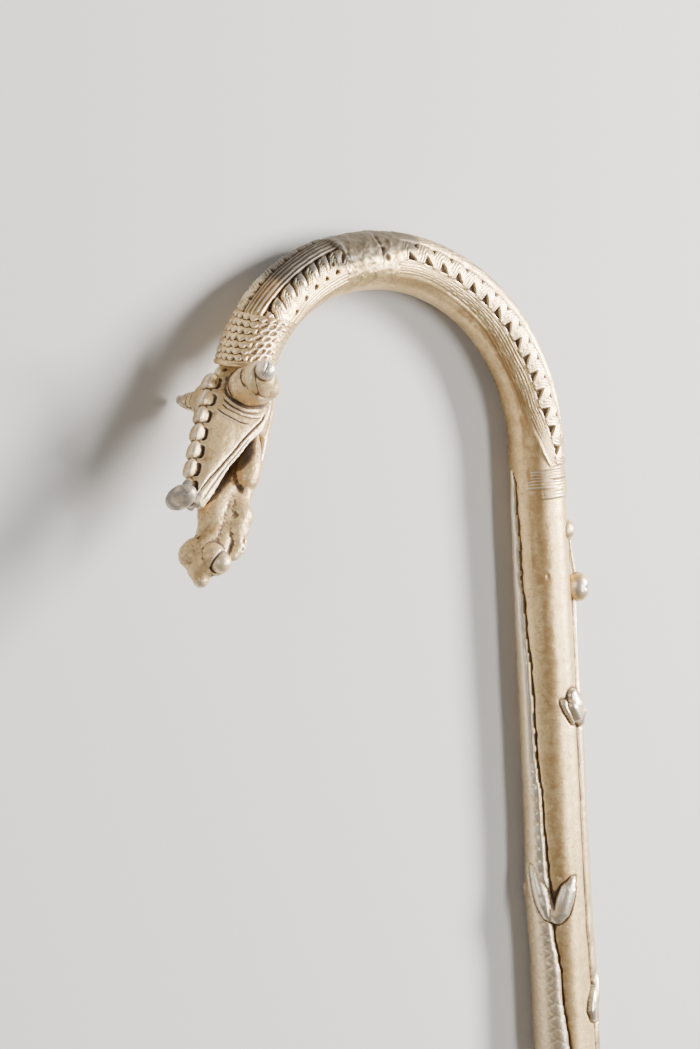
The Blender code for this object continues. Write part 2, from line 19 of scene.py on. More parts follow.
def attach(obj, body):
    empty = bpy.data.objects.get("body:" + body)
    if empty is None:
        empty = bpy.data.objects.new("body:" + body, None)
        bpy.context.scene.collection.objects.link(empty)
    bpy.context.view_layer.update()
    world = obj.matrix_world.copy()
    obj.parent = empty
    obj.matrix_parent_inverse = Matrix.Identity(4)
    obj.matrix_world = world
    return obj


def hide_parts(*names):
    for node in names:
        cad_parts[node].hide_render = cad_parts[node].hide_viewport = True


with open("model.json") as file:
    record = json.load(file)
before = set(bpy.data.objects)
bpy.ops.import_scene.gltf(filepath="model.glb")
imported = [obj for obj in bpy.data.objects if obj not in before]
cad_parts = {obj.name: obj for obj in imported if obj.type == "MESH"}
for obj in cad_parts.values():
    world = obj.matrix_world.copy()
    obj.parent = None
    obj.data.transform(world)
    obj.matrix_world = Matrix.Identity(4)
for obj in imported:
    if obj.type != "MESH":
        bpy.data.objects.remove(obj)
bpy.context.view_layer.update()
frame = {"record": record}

# %% [markdown]
# ## The path of the tube
# The tube runs straight up the shaft, bends through most of a circle and leans towards the viewer
# at the neck. A curve object could carry a tube along it, but relief needs to know the distance
# along the tube and the angle around it at every point. So the path is a function that gives a
# centre and three directions for any distance, and a second one turns distance, angle and radius
# into a point. Angles start at the outside of the crook and turn towards the viewer. Distances
# start where the crook springs from the shaft. All sizes are in millimetres, and only finished
# points are in metres.

# %% Sizes of the tube
MM = 0.001
TUBE_RADIUS = 13.1
CROOK_RADIUS = 92.3
SHAFT_LENGTH = 1095
FOOT_TAPER = ((0, 10.3), (0.6, 11.1), (1.5, 11.5), (160, TUBE_RADIUS))
NECK_ANGLE = math.radians(144)
LIFT_START = math.radians(95)
NECK_SLOPE = 0.332
NECK_END = CROOK_RADIUS * NECK_ANGLE
FLAT_DEPTH = TUBE_RADIUS * math.cos(math.radians(7.5))
DEGREE = math.radians(1) * TUBE_RADIUS

foot_place = np.array(frame["record"]["mounts"][0]["pos_m"])
CROOK_CENTRE = foot_place - np.array((CROOK_RADIUS, -SHAFT_LENGTH, 0)) * MM


def path(distance):
    """Centre in metres, and the directions along, outward and near, at distances up the tube."""
    distance = np.asarray(distance, dtype=float)
    angle = np.clip(distance / CROOK_RADIUS, 0, NECK_ANGLE)
    lift_span = NECK_ANGLE - LIFT_START
    rise = np.clip(angle - LIFT_START, 0, None) / lift_span
    along = np.stack([-np.sin(angle), np.cos(angle), NECK_SLOPE * rise], axis=-1)
    along /= np.linalg.norm(along, axis=-1, keepdims=True)
    outward = np.stack([np.cos(angle), np.sin(angle), np.zeros_like(angle)], axis=-1)
    lift = NECK_SLOPE * lift_span * rise ** 2 / 2
    centre = np.stack([np.cos(angle), np.sin(angle), lift], axis=-1) * CROOK_RADIUS
    past_ends = np.clip(distance, None, 0) + np.clip(distance - NECK_END, 0, None)
    centre += along * past_ends[..., None]
    return centre * MM + CROOK_CENTRE, along, outward, np.cross(outward, along)


def tube(distance, degrees, radius):
    """Points around the tube, in metres."""
    centre, _, outward, near = path(distance)
    turn = np.radians(degrees)[..., None]
    return centre + (outward * np.cos(turn) + near * np.sin(turn)) * np.asarray(radius)[..., None] * MM


def up_crook(degrees):
    """The distance at an angle up the crook."""
    return CROOK_RADIUS * math.radians(degrees)


def crook_degrees(distance):
    return np.degrees(distance / CROOK_RADIUS)


print("the spring line of the crook is at", np.round(path(0)[0], 4))

# %% [markdown]
# ## Small tools for relief
# Relief is a sheet of numbers, a height for each point, so it is made with whole arrays at once.
# A few tools are enough: a smooth step, a wobble that keeps hand-laid lines from being perfect,
# rounded threads and grooves, tables of places that a line runs through, and a roll, which gives
# the height of a rounded strip of wax along a line.

# %% Steps, wobble and rolls
WOBBLE_SIZE = 64


def step(low, high, value):
    """0 below low, 1 above high, smooth between."""
    share = np.clip((value - low) / (high - low), 0, 1)
    return share * share * (3 - 2 * share)


def window(low, high, soft, value):
    """1 between low and high, fading to 0 outside them."""
    return step(low - soft, low + soft, value) * (1 - step(high - soft, high + soft, value))


def through(table, value, column=1):
    """Straight lines through rows of a place and one or more sizes."""
    return np.interp(value, [row[0] for row in table], [row[column] for row in table])


def wrapped(degrees, low=-180):
    return (degrees - low) % 360 + low


def nearest(along, pitch):
    """Distance to the nearest of evenly spaced places."""
    return along - np.round(along / pitch) * pitch


def wobble(across, along, size, seed):
    """Smooth random heights from -1 to 1, with lumps about size wide."""
    table = np.random.default_rng(seed).uniform(-1, 1, (WOBBLE_SIZE, WOBBLE_SIZE))
    x, y = np.asarray(across) / size, np.asarray(along) / size
    column, row = np.floor(x).astype(int), np.floor(y).astype(int)
    right, up = step(0, 1, x - column), step(0, 1, y - row)

    def level(j):
        here, beside = (table[(row + j) % WOBBLE_SIZE, (column + i) % WOBBLE_SIZE] for i in (0, 1))
        return here * (1 - right) + beside * right

    return level(0) * (1 - up) + level(1) * up


def lines(value, spacing=1):
    """Rounded threads side by side: 0 in the grooves at whole steps, 1 on the backs between them."""
    return 0.5 - 0.5 * np.cos(2 * math.pi * value / spacing)


def trench(distance, half_width):
    """1 in the middle of a groove, falling to 0 at its sides."""
    return np.exp(-(distance / half_width) ** 2)


def hole(gap, size, depth):
    """A round hole with steep walls."""
    return depth * np.exp(-(gap / size) ** 4)


def roll_edge(across, along, roll):
    """Distance outside a roll through rows of (across, along, radius), and its radius there."""
    closest, thick = np.full(np.shape(across), 1e9), np.zeros(np.shape(across))
    for (x, y, thin), (end_x, end_y, fat) in zip(roll, roll[1:]):
        run, rise = end_x - x, end_y - y
        share = np.clip(((across - x) * run + (along - y) * rise) / (run ** 2 + rise ** 2), 0, 1)
        radius = thin + (fat - thin) * share
        edge = np.hypot(across - x - share * run, along - y - share * rise) - radius
        thick = np.where(edge < closest, radius, thick)
        closest = np.minimum(closest, edge)
    return closest, thick


print("thread back and groove:", lines(np.array([0.5, 1])))

# %% [markdown]
# ## The carved bands of the crook
# On the real staff the caster rolled wax threads about a millimetre thick and laid three or four
# side by side in a zigzag ribbon, with a three-cornered pit pressed into each bend. A row of
# parallel threads along the outside makes a spine between two such ribbons. The heights come
# from distances: inside a bend, each thread keeps the same distance from the pit, so a wave of
# that distance draws all of them at once.

# %% Places of the bands
SPINE_LINE = ((-7, 18), (-1, 24.5), (5, 34.5), (12, 45), (30, 45), (40, 41.5), (50, 39.5), (60, 36),
              (68, 31), (76, 24.5), (90, 22), (105, 26), (112, 30), (120, 32), (130, 33))
SPINE_HALF, SPINE_THREADS = 20, 5
BAND_START, BAND_SPAN = SPINE_HALF + 2.5, 40
BAND_END = BAND_START + BAND_SPAN
BAND_WIDTH = BAND_SPAN * DEGREE
ZIGZAG_PITCH, ZIGZAG_PIT = 9.3, 3.35
RIBBON_HALF = 2.43
BEND_FROM_SPINE, BEND_FROM_BORDER = 0.25, 1.3
PIT_SKEW = 0.4
WAVE_START, SCALES_START = up_crook(102), up_crook(128.5)
WAVE_PITCH, WAVE_PIT, FAR_PIT = 8.2, 177.2, 192.4
WAVE_BORDER = ((102, 90), (108, 94), (114, 97), (119, 101), (124, 110), (130, 111), (136, 106))
CUT = ((-3.4, 0.1, 0.40), (-0.7, 1.0, 0.85), (0.3, 3.6, 0.50), (2.0, 6.6, 0.12))
CUT_LAG = 2.2
RIM_END, RIM_WIDTH, RIM_SKEW = NECK_END + 1.5, 2.6, 10.5
SCALE_ROWS, SCALE_WIDTH = 7, 3.6


def spine_turn(distance):
    """The spine wanders around the tube between the collar and the neck."""
    return through(SPINE_LINE, crook_degrees(distance))


def from_spine(distance, degrees):
    """Degrees around the tube from the spine line, from -180 to 180."""
    return wrapped(degrees - spine_turn(distance))


def slanted(distance, offset):
    """Rows near the head slant, so that the scaly nape reaches furthest along the spine."""
    share = np.clip((distance - WAVE_START) / (SCALES_START - WAVE_START), 0, 1)
    return distance + RIM_SKEW * share * np.cos(np.radians(offset))


def pit_edge(along, height, half_base, tall):
    """Distance outside a three-cornered pit whose base lies on the border at height 0."""
    side = np.hypot(along, 0.35)
    return (side * tall + height * half_base - half_base * tall) / math.hypot(half_base, tall)


def ribbon(along, height, pitch, seed):
    """Threads that zigzag side by side across a band, with deep pits left between their bends."""
    past_middle = np.clip(height - BAND_WIDTH / 2, 0, None)
    along = along + 0.35 * wobble(height, along, 5, seed) + PIT_SKEW * past_middle
    height = height + 0.25 * wobble(along, height, 4, seed + 1)
    leg = ((0, BAND_WIDTH - BEND_FROM_BORDER, 0), (pitch / 2, BEND_FROM_SPINE, 0))
    gap, _ = roll_edge(np.abs(nearest(along, pitch)), height, leg)
    threads = 0.22 + 0.60 * lines(gap, RIBBON_HALF / 2) ** 0.8
    depth = 1.15 + 0.30 * np.sin(np.round(2 * along / pitch) * 2.7 + seed)
    return np.where(gap < RIBBON_HALF, threads, -depth * step(0, 0.7, gap - RIBBON_HALF))


def in_band(height):
    return window(0, BAND_WIDTH, 0.12, height)


print("band width", round(BAND_WIDTH, 2), "mm, threads", round(RIBBON_HALF / 2, 2), "mm apart")

# %% Spine, ridges and the half towards the shaft
RIDGE_SPANS = ((-7, 9), (-2, 18), (5, 24), (13, 26), (22, 28), (28, 31), (37, 28), (50, 25), (60, 24),
               (70, 23), (84, 28))
RIDGE_COUNT = 5


def spine_relief(offset, distance):
    """Thin threads side by side along the outside of the crook, between two grooves."""
    drift = offset + 1.2 * wobble(distance, offset, 14, 3)
    threads = 0.75 * lines(drift + SPINE_HALF, 2 * SPINE_HALF / SPINE_THREADS) ** 2.8 - 0.20
    groove = 0.55 * trench(np.abs(drift) - SPINE_HALF - 1.2, 1.5)
    return threads * window(-SPINE_HALF, SPINE_HALF, 0.6, drift) - groove


def ridge_relief(offset, distance):
    """Long ridges beside the band, which close up to a point above the collar."""
    place = crook_degrees(distance)
    share = (np.abs(offset) - BAND_END - 2.5) / through(RIDGE_SPANS, place)
    share = share + 0.03 * wobble(distance, offset, 12, 5)
    uneven = 0.75 + 0.25 * wobble(distance, np.floor(share * RIDGE_COUNT) * 9, 11, 7)
    strong = 1.15 - 0.50 * step(58, 70, place)
    ridges = (0.75 * lines(share * RIDGE_COUNT) ** 1.3 - 0.18) * window(0, 1, 0.02, share) * uneven
    border = 0.50 * trench(np.abs(offset) - BAND_END - 0.9, 1.6)
    swell = 0.45 * trench(share - 1.35, 0.25)
    cut = 0.40 * trench(share - 1.06, 0.04) * window(20, 62, 4, place)
    return (ridges + swell) * strong + border - cut


def carved_shaft_half(distance, degrees):
    offset = from_spine(distance, degrees)
    height = (np.abs(offset) - BAND_START) * DEGREE
    near = ribbon(distance - ZIGZAG_PIT, height, ZIGZAG_PITCH, 11)
    far = ribbon(distance - ZIGZAG_PIT + 2, height, ZIGZAG_PITCH, 17)
    relief = np.where(offset > 0, near, far) * in_band(height)
    relief += spine_relief(offset, distance) + ridge_relief(offset, distance)
    return relief * step(-11.5, -9, distance)


# %% The half towards the neck
def wave_relief(distance, offset, along, border):
    """The near band left of the repair: curved cuts, threads that bend round them and smooth pads."""
    width = (border - spine_turn(distance) - BAND_START) * DEGREE
    height = (offset - BAND_START) * DEGREE
    along = along + 0.4 * wobble(height, along, 5, 23) + 0.9 * wobble(along, 0, 13, 24)
    near_pit = pit_edge(nearest(along - WAVE_PIT, WAVE_PITCH), width - height, 1.7, 2.3)
    beside = nearest(along - WAVE_PIT - CUT_LAG, WAVE_PITCH)
    cut, _ = roll_edge(beside, height, CUT)
    past_cut = beside - through([(up, at) for at, up, _ in CUT], height)
    pad = window(0.5, 4.6, 0.4, past_cut) * window(0.6, 6.2, 0.8, height) * step(0.1, 0.7, cut)
    dome = 1.05 - 0.07 * ((past_cut - 2.4) ** 2 + 0.7 * (height - 3.4) ** 2)
    crowded = (1 - 0.75 * step(3, 4.2, cut)) * (1 - 0.6 * step(7, 9, height))
    threads = (0.25 + (0.75 * lines(cut, 1.15) - 0.15) * crowded) * (1 - pad) + dome * pad
    open_edge = np.minimum(near_pit, cut)
    inside = window(0, 1, 0.02, height / np.maximum(width, 0.1))
    edge_thread = 0.45 * trench(height - width - 0.7, 0.5)
    return np.where(open_edge > 0, threads, -1.2 * step(0, 0.6, -open_edge)) * inside + edge_thread


def scale_relief(distance, offset):
    """Rows of scales over the nape, which turn into open cells on the viewer's side."""
    rows = (distance - SCALES_START) / (RIM_END - RIM_WIDTH - SCALES_START) * SCALE_ROWS
    rows = rows + 0.10 * wobble(offset, distance, 6, 31)
    row = np.floor(rows)
    across = offset * DEGREE / SCALE_WIDTH + 0.5 * (row % 2) + 0.08 * wobble(distance, offset, 8, 33)
    middle = across - np.floor(across) - 0.5
    past_edge = rows - row - 0.95 + 0.42 * (2 * middle) ** 2
    beyond = step(-0.10, 0.10, past_edge)
    height = np.clip(rows - row + 0.3 - beyond, 0, 1.3)
    scales = 0.65 * height + 0.20 * (1 - 4 * middle ** 2) * (1 - beyond)
    scales = scales - 0.55 * trench(past_edge - 0.06, 0.14)
    leaning = middle + 0.35 * (rows - row - 0.5)
    cells = 2 * np.hypot(rows - row - 0.5, leaning * 1.1) + 0.12 * wobble(distance, offset, 5, 35)
    comb = 0.85 * step(0.56, 0.86, cells) - 0.35
    in_comb = window(24, 68, 4, offset) * window(0.9, 6.9, 0.1, rows)
    return (scales * (1 - in_comb) + comb * in_comb) * (1 - 0.7 * step(68, 92, np.abs(offset)))


def rim_relief(rim, offset):
    """The rolled rim around the neck, which is highest along the spine."""
    roll = 0.6 * np.sqrt(np.clip(1 - (rim / RIM_WIDTH - 0.5) ** 2 * 4, 0, 1)) * step(-0.2, 0.2, rim)
    return roll * (0.45 + 0.55 * step(125, 95, np.abs(offset)))


def carved_neck_half(distance, degrees):
    offset = from_spine(distance, degrees)
    place = crook_degrees(distance)
    along = slanted(distance, offset)
    border = through(WAVE_BORDER, crook_degrees(along))
    height = (-offset - BAND_START) * DEGREE
    far = 2.2 * (ribbon(along - FAR_PIT, height, WAVE_PITCH, 41) - 0.25) * in_band(height)
    bands = np.where(offset > 0, wave_relief(distance, offset, along, border), far)
    past_border = np.where(offset > 0, wrapped(degrees - border, -90), np.abs(offset) - BAND_END)
    fine = 0.42 * lines(past_border - 5, 6.5) * window(5, 31, 1, past_border)
    widening = 1.6 + 2.4 * step(122, 128, place)
    groove = 0.95 * trench(offset - SPINE_HALF - widening, widening)
    bands += spine_relief(offset, distance) + fine - groove
    scaly = step(127.8, 128.6, place)
    relief = bands * (1 - scaly) + scale_relief(distance, offset) * scaly
    rim = distance - RIM_END + RIM_WIDTH
    return relief * (1 - step(-1, 0.4, rim)) + rim_relief(rim, offset)


print("ridges", RIDGE_COUNT, "scales in", SCALE_ROWS, "rows")

# %% [markdown]
# ## The repair
# Casters often had to pour metal onto a flaw. Here a lumpy patch crosses the top of the crook and
# has swallowed the pattern. It is a soft-edged window in the relief: inside it the threads fade
# out and slow lumps take over, with a small step at its edge and three blow holes.

# %% The repair and the whole crook
REPAIR_START, REPAIR_END, REPAIR_STEP = 82, 102, 88.6
CROOK_TOP = up_crook((REPAIR_START + REPAIR_END) / 2)
BLOW_HOLES = ((88.4, 64, 1.0, 0.9), (87.4, 84, 1.3, 1.0), (105.6, 72, 0.9, 0.8))


def repair_relief(distance, degrees):
    """Slow lumps, and one step and a rough crack where the poured metal ends."""
    around = degrees * DEGREE
    place = crook_degrees(distance) + 0.7 * wobble(around, distance, 4, 54)
    place = place + 0.8 * wobble(around, distance, 11, 56)
    rough = 0.30 + 0.45 * window(100, 108, 2, place) * window(45, 100, 8, degrees)
    lumpy = rough * (wobble(distance, around, 2.8, 52) + 0.5 * wobble(distance, around, 1.2, 53))
    on_top = window(30, 84, 16, degrees) * (0.75 + 0.35 * wobble(around, distance, 3, 59))
    past_step = place - REPAIR_STEP
    ledge = (0.70 * step(-0.2, 0.2, past_step) - 1.20 * trench(past_step, 0.38)) * on_top
    return 0.45 + 0.50 * wobble(distance, around, 8, 51) + lumpy + ledge


def crook_relief(distance, degrees):
    """Height of the carving anywhere on the crook."""
    offset = from_spine(distance, degrees)
    across = offset * DEGREE
    edge = distance + 2.2 * wobble(across, distance, 6, 55)
    inside = window(up_crook(REPAIR_START), up_crook(REPAIR_END), 0.9, edge)
    inside = inside * (1 - 0.85 * step(95, 140, np.abs(offset)))
    pattern = np.where(distance < CROOK_TOP, carved_shaft_half(distance, degrees),
                       carved_neck_half(distance, degrees))
    relief = pattern * (1 - inside) + repair_relief(distance, degrees) * inside
    for place, turn, size, depth in BLOW_HOLES:
        relief -= hole(np.hypot(distance - up_crook(place), (degrees - turn) * DEGREE), size, depth)
    return relief + 0.10 * wobble(distance, across, 9, 57) + 0.05 * wobble(distance, across, 2.5, 58)


print("repair from", REPAIR_START, "to", REPAIR_END, "degrees up the crook")

# %% [markdown]
# ## Collar, creatures and plain shaft
# Under the crook three bands of threads are wound around the shaft. Below them two lizards lie
# along it, one on each side, in low relief: long bodies that swell at the hips, and legs like
# bent rolls of wax pressed on, with a dark crevice where they meet the shaft. They could be
# separate objects, but relief that grows out of the tube's own skin has no seam. Rows give
# places down the shaft below the crook, and for a leg how far down and around each point lies
# from the hip, and how thick the leg is there.

# %% Collar
COLLAR_START, COLLAR_STEP, COLLAR_WIDTH = 11.8, 4.75, 4.5
COLLAR_NEAR_ENDS, COLLAR_FAR_END = (140, 152, 118), -55


def collar_relief(below, degrees):
    turn = wrapped(degrees, -90)
    relief = np.zeros(np.shape(below))
    for number, near_end in enumerate(COLLAR_NEAR_ENDS):
        start = COLLAR_START + number * COLLAR_STEP + 0.5 * wobble(turn / 40, 0, 1, 61 + number)
        share = (below - start) / COLLAR_WIDTH
        inside = window(0, 1, 0.03, share) * window(COLLAR_FAR_END, near_end, 3, turn)
        relief += inside * (0.35 + 0.65 * lines(share * 3) ** 0.8)
    return relief


# %% Bodies and legs of the creatures
LEG_FLATNESS = 0.80


def body_relief(share, below, heights, column, roundness):
    """A long back, from the middle at share 0 to its edges at -1 and 1."""
    back = through(heights, below, column) * np.clip(1 - np.abs(share) ** 2.6, 0, 1) ** roundness
    return np.where((below > heights[0][0]) & (below < heights[-1][0]), back, 0)


def with_leg(relief, below, turn, hip, leg, ride):
    """The relief with one leg on it, a bent roll with a crevice around it."""
    rows = [(around * DEGREE, hip + down, radius) for down, around, radius in leg]
    edge, thick = roll_edge(turn * DEGREE, below, rows)
    inward = np.clip(1 + edge / np.maximum(thick, 1e-6), 0, 1)
    height = np.where(edge < 0, thick * LEG_FLATNESS * np.sqrt(1 - inward ** 2), 0)
    raised = np.maximum(relief, height + ride * np.maximum(relief, 0))
    return np.where(edge < 0, raised, relief - 0.60 * trench(edge - 0.3, 0.45))


# %% Creature on the inner side, tail up
A_NEAR_EDGE = ((12, 190), (18, 184), (43, 179), (66, 177), (84, 173), (107, 167), (125, 164), (150, 162),
               (169, 157), (188, 155), (207, 151), (216, 148), (232, 147), (250, 138), (274, 133),
               (290, 127), (312, 138), (326, 160), (343, 152), (360, 168), (372, 190))
A_FAR_EDGE = ((12, 195), (75, 206), (125, 212), (175, 217), (214, 225), (280, 236), (315, 226),
              (329, 214), (343, 221), (360, 212), (372, 198))
A_HEIGHTS = ((12, 0.5), (30, 1.7), (75, 2.2), (125, 2.6), (175, 3), (202, 4), (220, 4.4), (244, 3.6),
             (280, 4.2), (315, 4), (329, 3), (343, 4.4), (362, 3.4), (372, 1.2))
A_TURN, A_HIP, A_SHOULDER = 195, 214, 315
A_NEAR_LEG = ((-12, -14, 1.4), (-3, -26, 2.8), (5, -38, 3.4), (10, -48, 3.6), (11.5, -58, 3.8),
              (9, -68, 4.1), (4, -76, 4.2), (-1, -84, 3.8), (-5, -94, 2), (-6.5, -101, 0.6))
A_FAR_LEG = ((-1, 18, 3), (10, 32, 2))
HATCH_SPACING = 5


def hatching(below, across):
    """Two sets of fine crossing lines."""
    rising = 0.8 * across + below + 0.6 * wobble(below, across, 9, 75)
    falling = 0.8 * across - below + 0.6 * wobble(across, below, 9, 76)
    return np.maximum(*(trench(nearest(line / 1.2, HATCH_SPACING), 0.38) for line in (rising, falling)))


def creature_a_relief(below, degrees):
    near = through(A_NEAR_EDGE, below) + wobble(below, 0, 4, 71) + 1.6 * wobble(below, 0, 15, 72)
    far = through(A_FAR_EDGE, below)
    share = (degrees - (near + far) / 2) / np.maximum((far - near) / 2, 0.5)
    hatched = window(150, 366, 8, below) * window(-0.9, 0.9, 0.06, share)
    body = body_relief(share, below, A_HEIGHTS, 1, 0.55)
    body -= 0.22 * hatching(below, (degrees - A_TURN) * DEGREE) * hatched
    crevice = (near - degrees) * DEGREE - 0.35
    groove = 1.1 * trench(crevice, 0.62 + 0.28 * wobble(below, 0, 3, 73)) * window(13, 366, 3, below)
    relief = np.where(np.abs(share) < 1, body, -groove)
    for hip in (A_HIP, A_SHOULDER):
        for leg in (A_NEAR_LEG, A_FAR_LEG):
            relief = with_leg(relief, below, degrees - A_TURN, hip, leg, 0.75)
    return relief


# %% Creature on the outer side, head up
B_TURN = 28
B_HEAD, B_SHOULDER, B_HIP = 70, 126, 262
B_KNOB, B_KNOB_TURN = 42, 40
B_BODY = ((72, 2.2, 2.6), (98, 3, 2.2), (114, 4, 2), (126, 6.2, 2.8), (176, 7.8, 2.2), (232, 7.8, 2.2),
          (262, 6.6, 3), (282, 4.4, 2.4), (370, 2.6, 1.6), (430, 1, 0.5))
B_FORE_LEG = ((-5.5, 44, 3.6), (-1.5, 38, 5.2), (3, 29, 5.2), (7, 20, 3.2))
B_TOE = ((-4, 76, 0.5), (-2.5, 68, 1.9), (1, 58, 2.6), (6, 46, 2.2))
B_HIND_LEG = ((-7, 6, 1.8), (-1, 12, 2.8), (4, 20, 3.4), (8, 30, 3.6), (11.5, 35, 3.4), (15, 31, 2.8),
              (18, 20, 1.2))


def creature_b_relief(below, degrees):
    turn = wrapped(degrees - B_TURN)
    half = through(B_BODY, below) + 0.3 * wobble(below, 0, 9, 81)
    share = turn * DEGREE / half
    groove = 0.8 * trench(np.abs(turn) * DEGREE - half - 0.3, 0.5) * window(80, 426, 3, below)
    relief = np.where(np.abs(share) < 1, body_relief(share, below, B_BODY, 2, 0.6), -groove)
    for hip, leg in ((B_SHOULDER, B_TOE), (B_SHOULDER, B_FORE_LEG), (B_HIP, B_HIND_LEG)):
        for side in (1, -1):
            relief = with_leg(relief, below, side * turn, hip, leg, 0.5)
    return relief


# %% The whole shaft
PIT_COUNT = 70
FOOT_BANDS = (1050, 1044)


def casting_pits(below, degrees):
    """Small blow holes, which gas leaves in the skin of a casting."""
    draw = np.random.default_rng(91)
    relief = np.zeros(np.shape(below))
    for _ in range(PIT_COUNT):
        place, turn = draw.uniform(30, 1080), draw.uniform(0, 360)
        size, depth = draw.uniform(0.5, 1.1), draw.uniform(0.2, 0.5)
        gap = np.hypot(wrapped(degrees - turn) * DEGREE, (below - place) * draw.uniform(0.5, 1))
        relief -= hole(gap, size, depth)
    return relief


def shaft_relief(distance, degrees):
    below, around = -distance, degrees * DEGREE
    relief = creature_a_relief(below, degrees) + creature_b_relief(below, degrees)
    relief += collar_relief(below, degrees) + casting_pits(below, degrees)
    for place in FOOT_BANDS:
        relief += 0.6 * window(place - 1.6, place + 1.6, 0.5, below)
    return relief + 0.12 * wobble(below, around, 14, 93) + 0.05 * wobble(below, around, 3, 94)


print("creatures reach from", A_HEIGHTS[0][0], "to", B_BODY[-1][0], "mm below the crook")

# %% [markdown]
# ## From heights to meshes
# Each stretch of the tube is a grid of rings, closed by a fan at both ends. One stretch ends where
# the next begins, so no gap shows between them. The underside is kept from sinking below the flat
# that the staff rests on. Masks say where soil lies, where shade and highlight are painted, and where
# hands and age have coloured the skin. They are kept on the points, one number for each, and the
# material reads them by name.

# %% Writing meshes
COLLECTION = bpy.context.scene.collection
MASK_MARGIN = 24


def linked(name, data):
    """A new object in the scene."""
    made = bpy.data.objects.new(name, data)
    COLLECTION.objects.link(made)
    return made


def ring_skin(name, rings):
    """A closed skin through rings of points (ring, point, xyz), with a flat fan at each end."""
    rows, columns = rings.shape[:2]
    middles = rings[[0, -1]].mean(axis=1)
    points = np.concatenate([rings.reshape(-1, 3), middles])
    here = np.arange((rows - 1) * columns)
    beside = np.where((here + 1) % columns, here + 1, here + 1 - columns)
    walls = np.stack([here, here + columns, beside + columns, beside], axis=1)
    first, last = rows * columns, rows * columns + 1
    fans = []
    for i, j in zip(here[:columns].tolist(), beside[:columns].tolist()):
        fans.append((i, j, first))
        fans.append((j + first - columns, i + first - columns, last))
    data = bpy.data.meshes.new(name)
    data.from_pydata(points, [], walls.tolist() + fans)
    data.polygons.foreach_set("use_smooth", [True] * len(walls) + [False] * len(fans))
    for edge in data.edges:  # the rims are sharp, so that walls and fans are shaded apart
        low, high = sorted(edge.vertices)
        edge.use_edge_sharp = high < columns or first - columns <= low < high < first
    return linked(name, data)


def set_masks(piece, **masks):
    for name, values in masks.items():
        layer = piece.data.attributes.new(name, "FLOAT", "POINT")
        layer.data.foreach_set("value", np.clip(values, 0, 1).astype(np.float32))


# %% Masks of the tube
def blurred(height, rows_wide, columns_wide):
    """Heights averaged over a soft window, which runs round the tube and stops at its ends."""
    for axis, wide, mode in ((0, rows_wide, "edge"), (1, columns_wide, "wrap")):
        reach = math.ceil(2.5 * wide)
        weights = np.exp(-0.5 * (np.arange(-reach, reach + 1) / max(wide, 0.3)) ** 2)
        pads = [(reach, reach), (0, 0)] if axis == 0 else [(0, 0), (reach, reach)]
        padded = np.pad(height, pads, mode=mode)
        places = np.arange(height.shape[axis])
        height = sum(np.take(padded, places + i, axis=axis) * weight / weights.sum()
                     for i, weight in enumerate(weights))
    return height


def hollow_masks(height, row_size, column_size):
    """Where the relief lies below its surroundings, as soil and painted shade, and where it stands above
    them, as wear and painted highlight.
    """
    fine, broad = (blurred(height, size / row_size, size / column_size) for size in (0.8, 2.4))
    # Fine hollows hold soil, broad hollows are painted shade, and high places get wear and a painted
    # highlight.
    hollow = step(0.10, 0.55, fine - height) * 0.45 + step(0.25, 1, broad - height) * 0.75
    high = step(0.05, 0.35, height - fine) * 0.6 + step(0.10, 0.60, height - broad) * 0.6
    return hollow, high


def tube_masks(distance, degrees):
    """Brown stain from handling and soil, and darker grey: painted shade on the crook's top and inner edge,
    and darker bands.
    """
    turn = wrapped(degrees, -90)
    around = turn * DEGREE
    place, offset = crook_degrees(distance), from_spine(distance, degrees)
    blotch = 0.5 + 0.5 * wobble(distance, around, 7, 101)
    mottle = 0.5 + 0.5 * wobble(distance + 0.6 * around, around - 0.6 * distance, 2.2, 102)
    slow = 0.5 + 0.5 * wobble(distance + 0.7 * around, 3 * around, 17, 103)
    inner = window(128, 235, 12, turn) * window(-12, 105, 14, distance) * (0.20 + 0.30 * blotch)
    strip = window(136, 158, 6, turn + 6 * blotch) * window(-8, 96, 10, distance)
    low_strip = window(118, 150, 5, turn) * window(-60, 20, 12, distance) * (0.35 + 0.65 * blotch)
    column = window(110, 152, 17, turn + 8 * slow) * (1 - step(-40, -12, distance))
    wash = window(-SPINE_HALF, SPINE_HALF + 4, 3, offset) * window(100, 127, 3, place)
    cells = window(20, 66, 6, offset) * window(128, 143, 2, place)
    stains = (inner, low_strip, strip * (0.30 + 0.55 * blotch + 0.35 * mottle),
              column * (0.26 + 0.30 * slow + 0.34 * mottle),
              np.maximum(1.1 * wash, 0.6 * cells) * (0.50 + 0.30 * blotch + 0.25 * mottle))
    # Dark grey: the first two windows are painted shade on the top of the crook, the fourth is painted
    # shade on its inner edge, and the others are darker bands.
    darks = (2.6 * window(78, 116, 9, place) * window(-80, 66, 14, turn),
             1.6 * window(86, 106, 4, place) * window(-90, 84, 14, turn),
             0.45 * window(104, 134, 8, turn) * window(26, 92, 12, distance),
             0.55 * window(188, 250, 10, turn) * window(-10, 120, 14, distance),
             0.8 * window(24, 44, 6, offset) * window(100, 122, 5, place))
    dark = np.maximum.reduce(darks) * (0.50 + 0.30 * blotch + 0.30 * mottle)
    return {"stain": np.maximum.reduce(stains), "dark": dark}


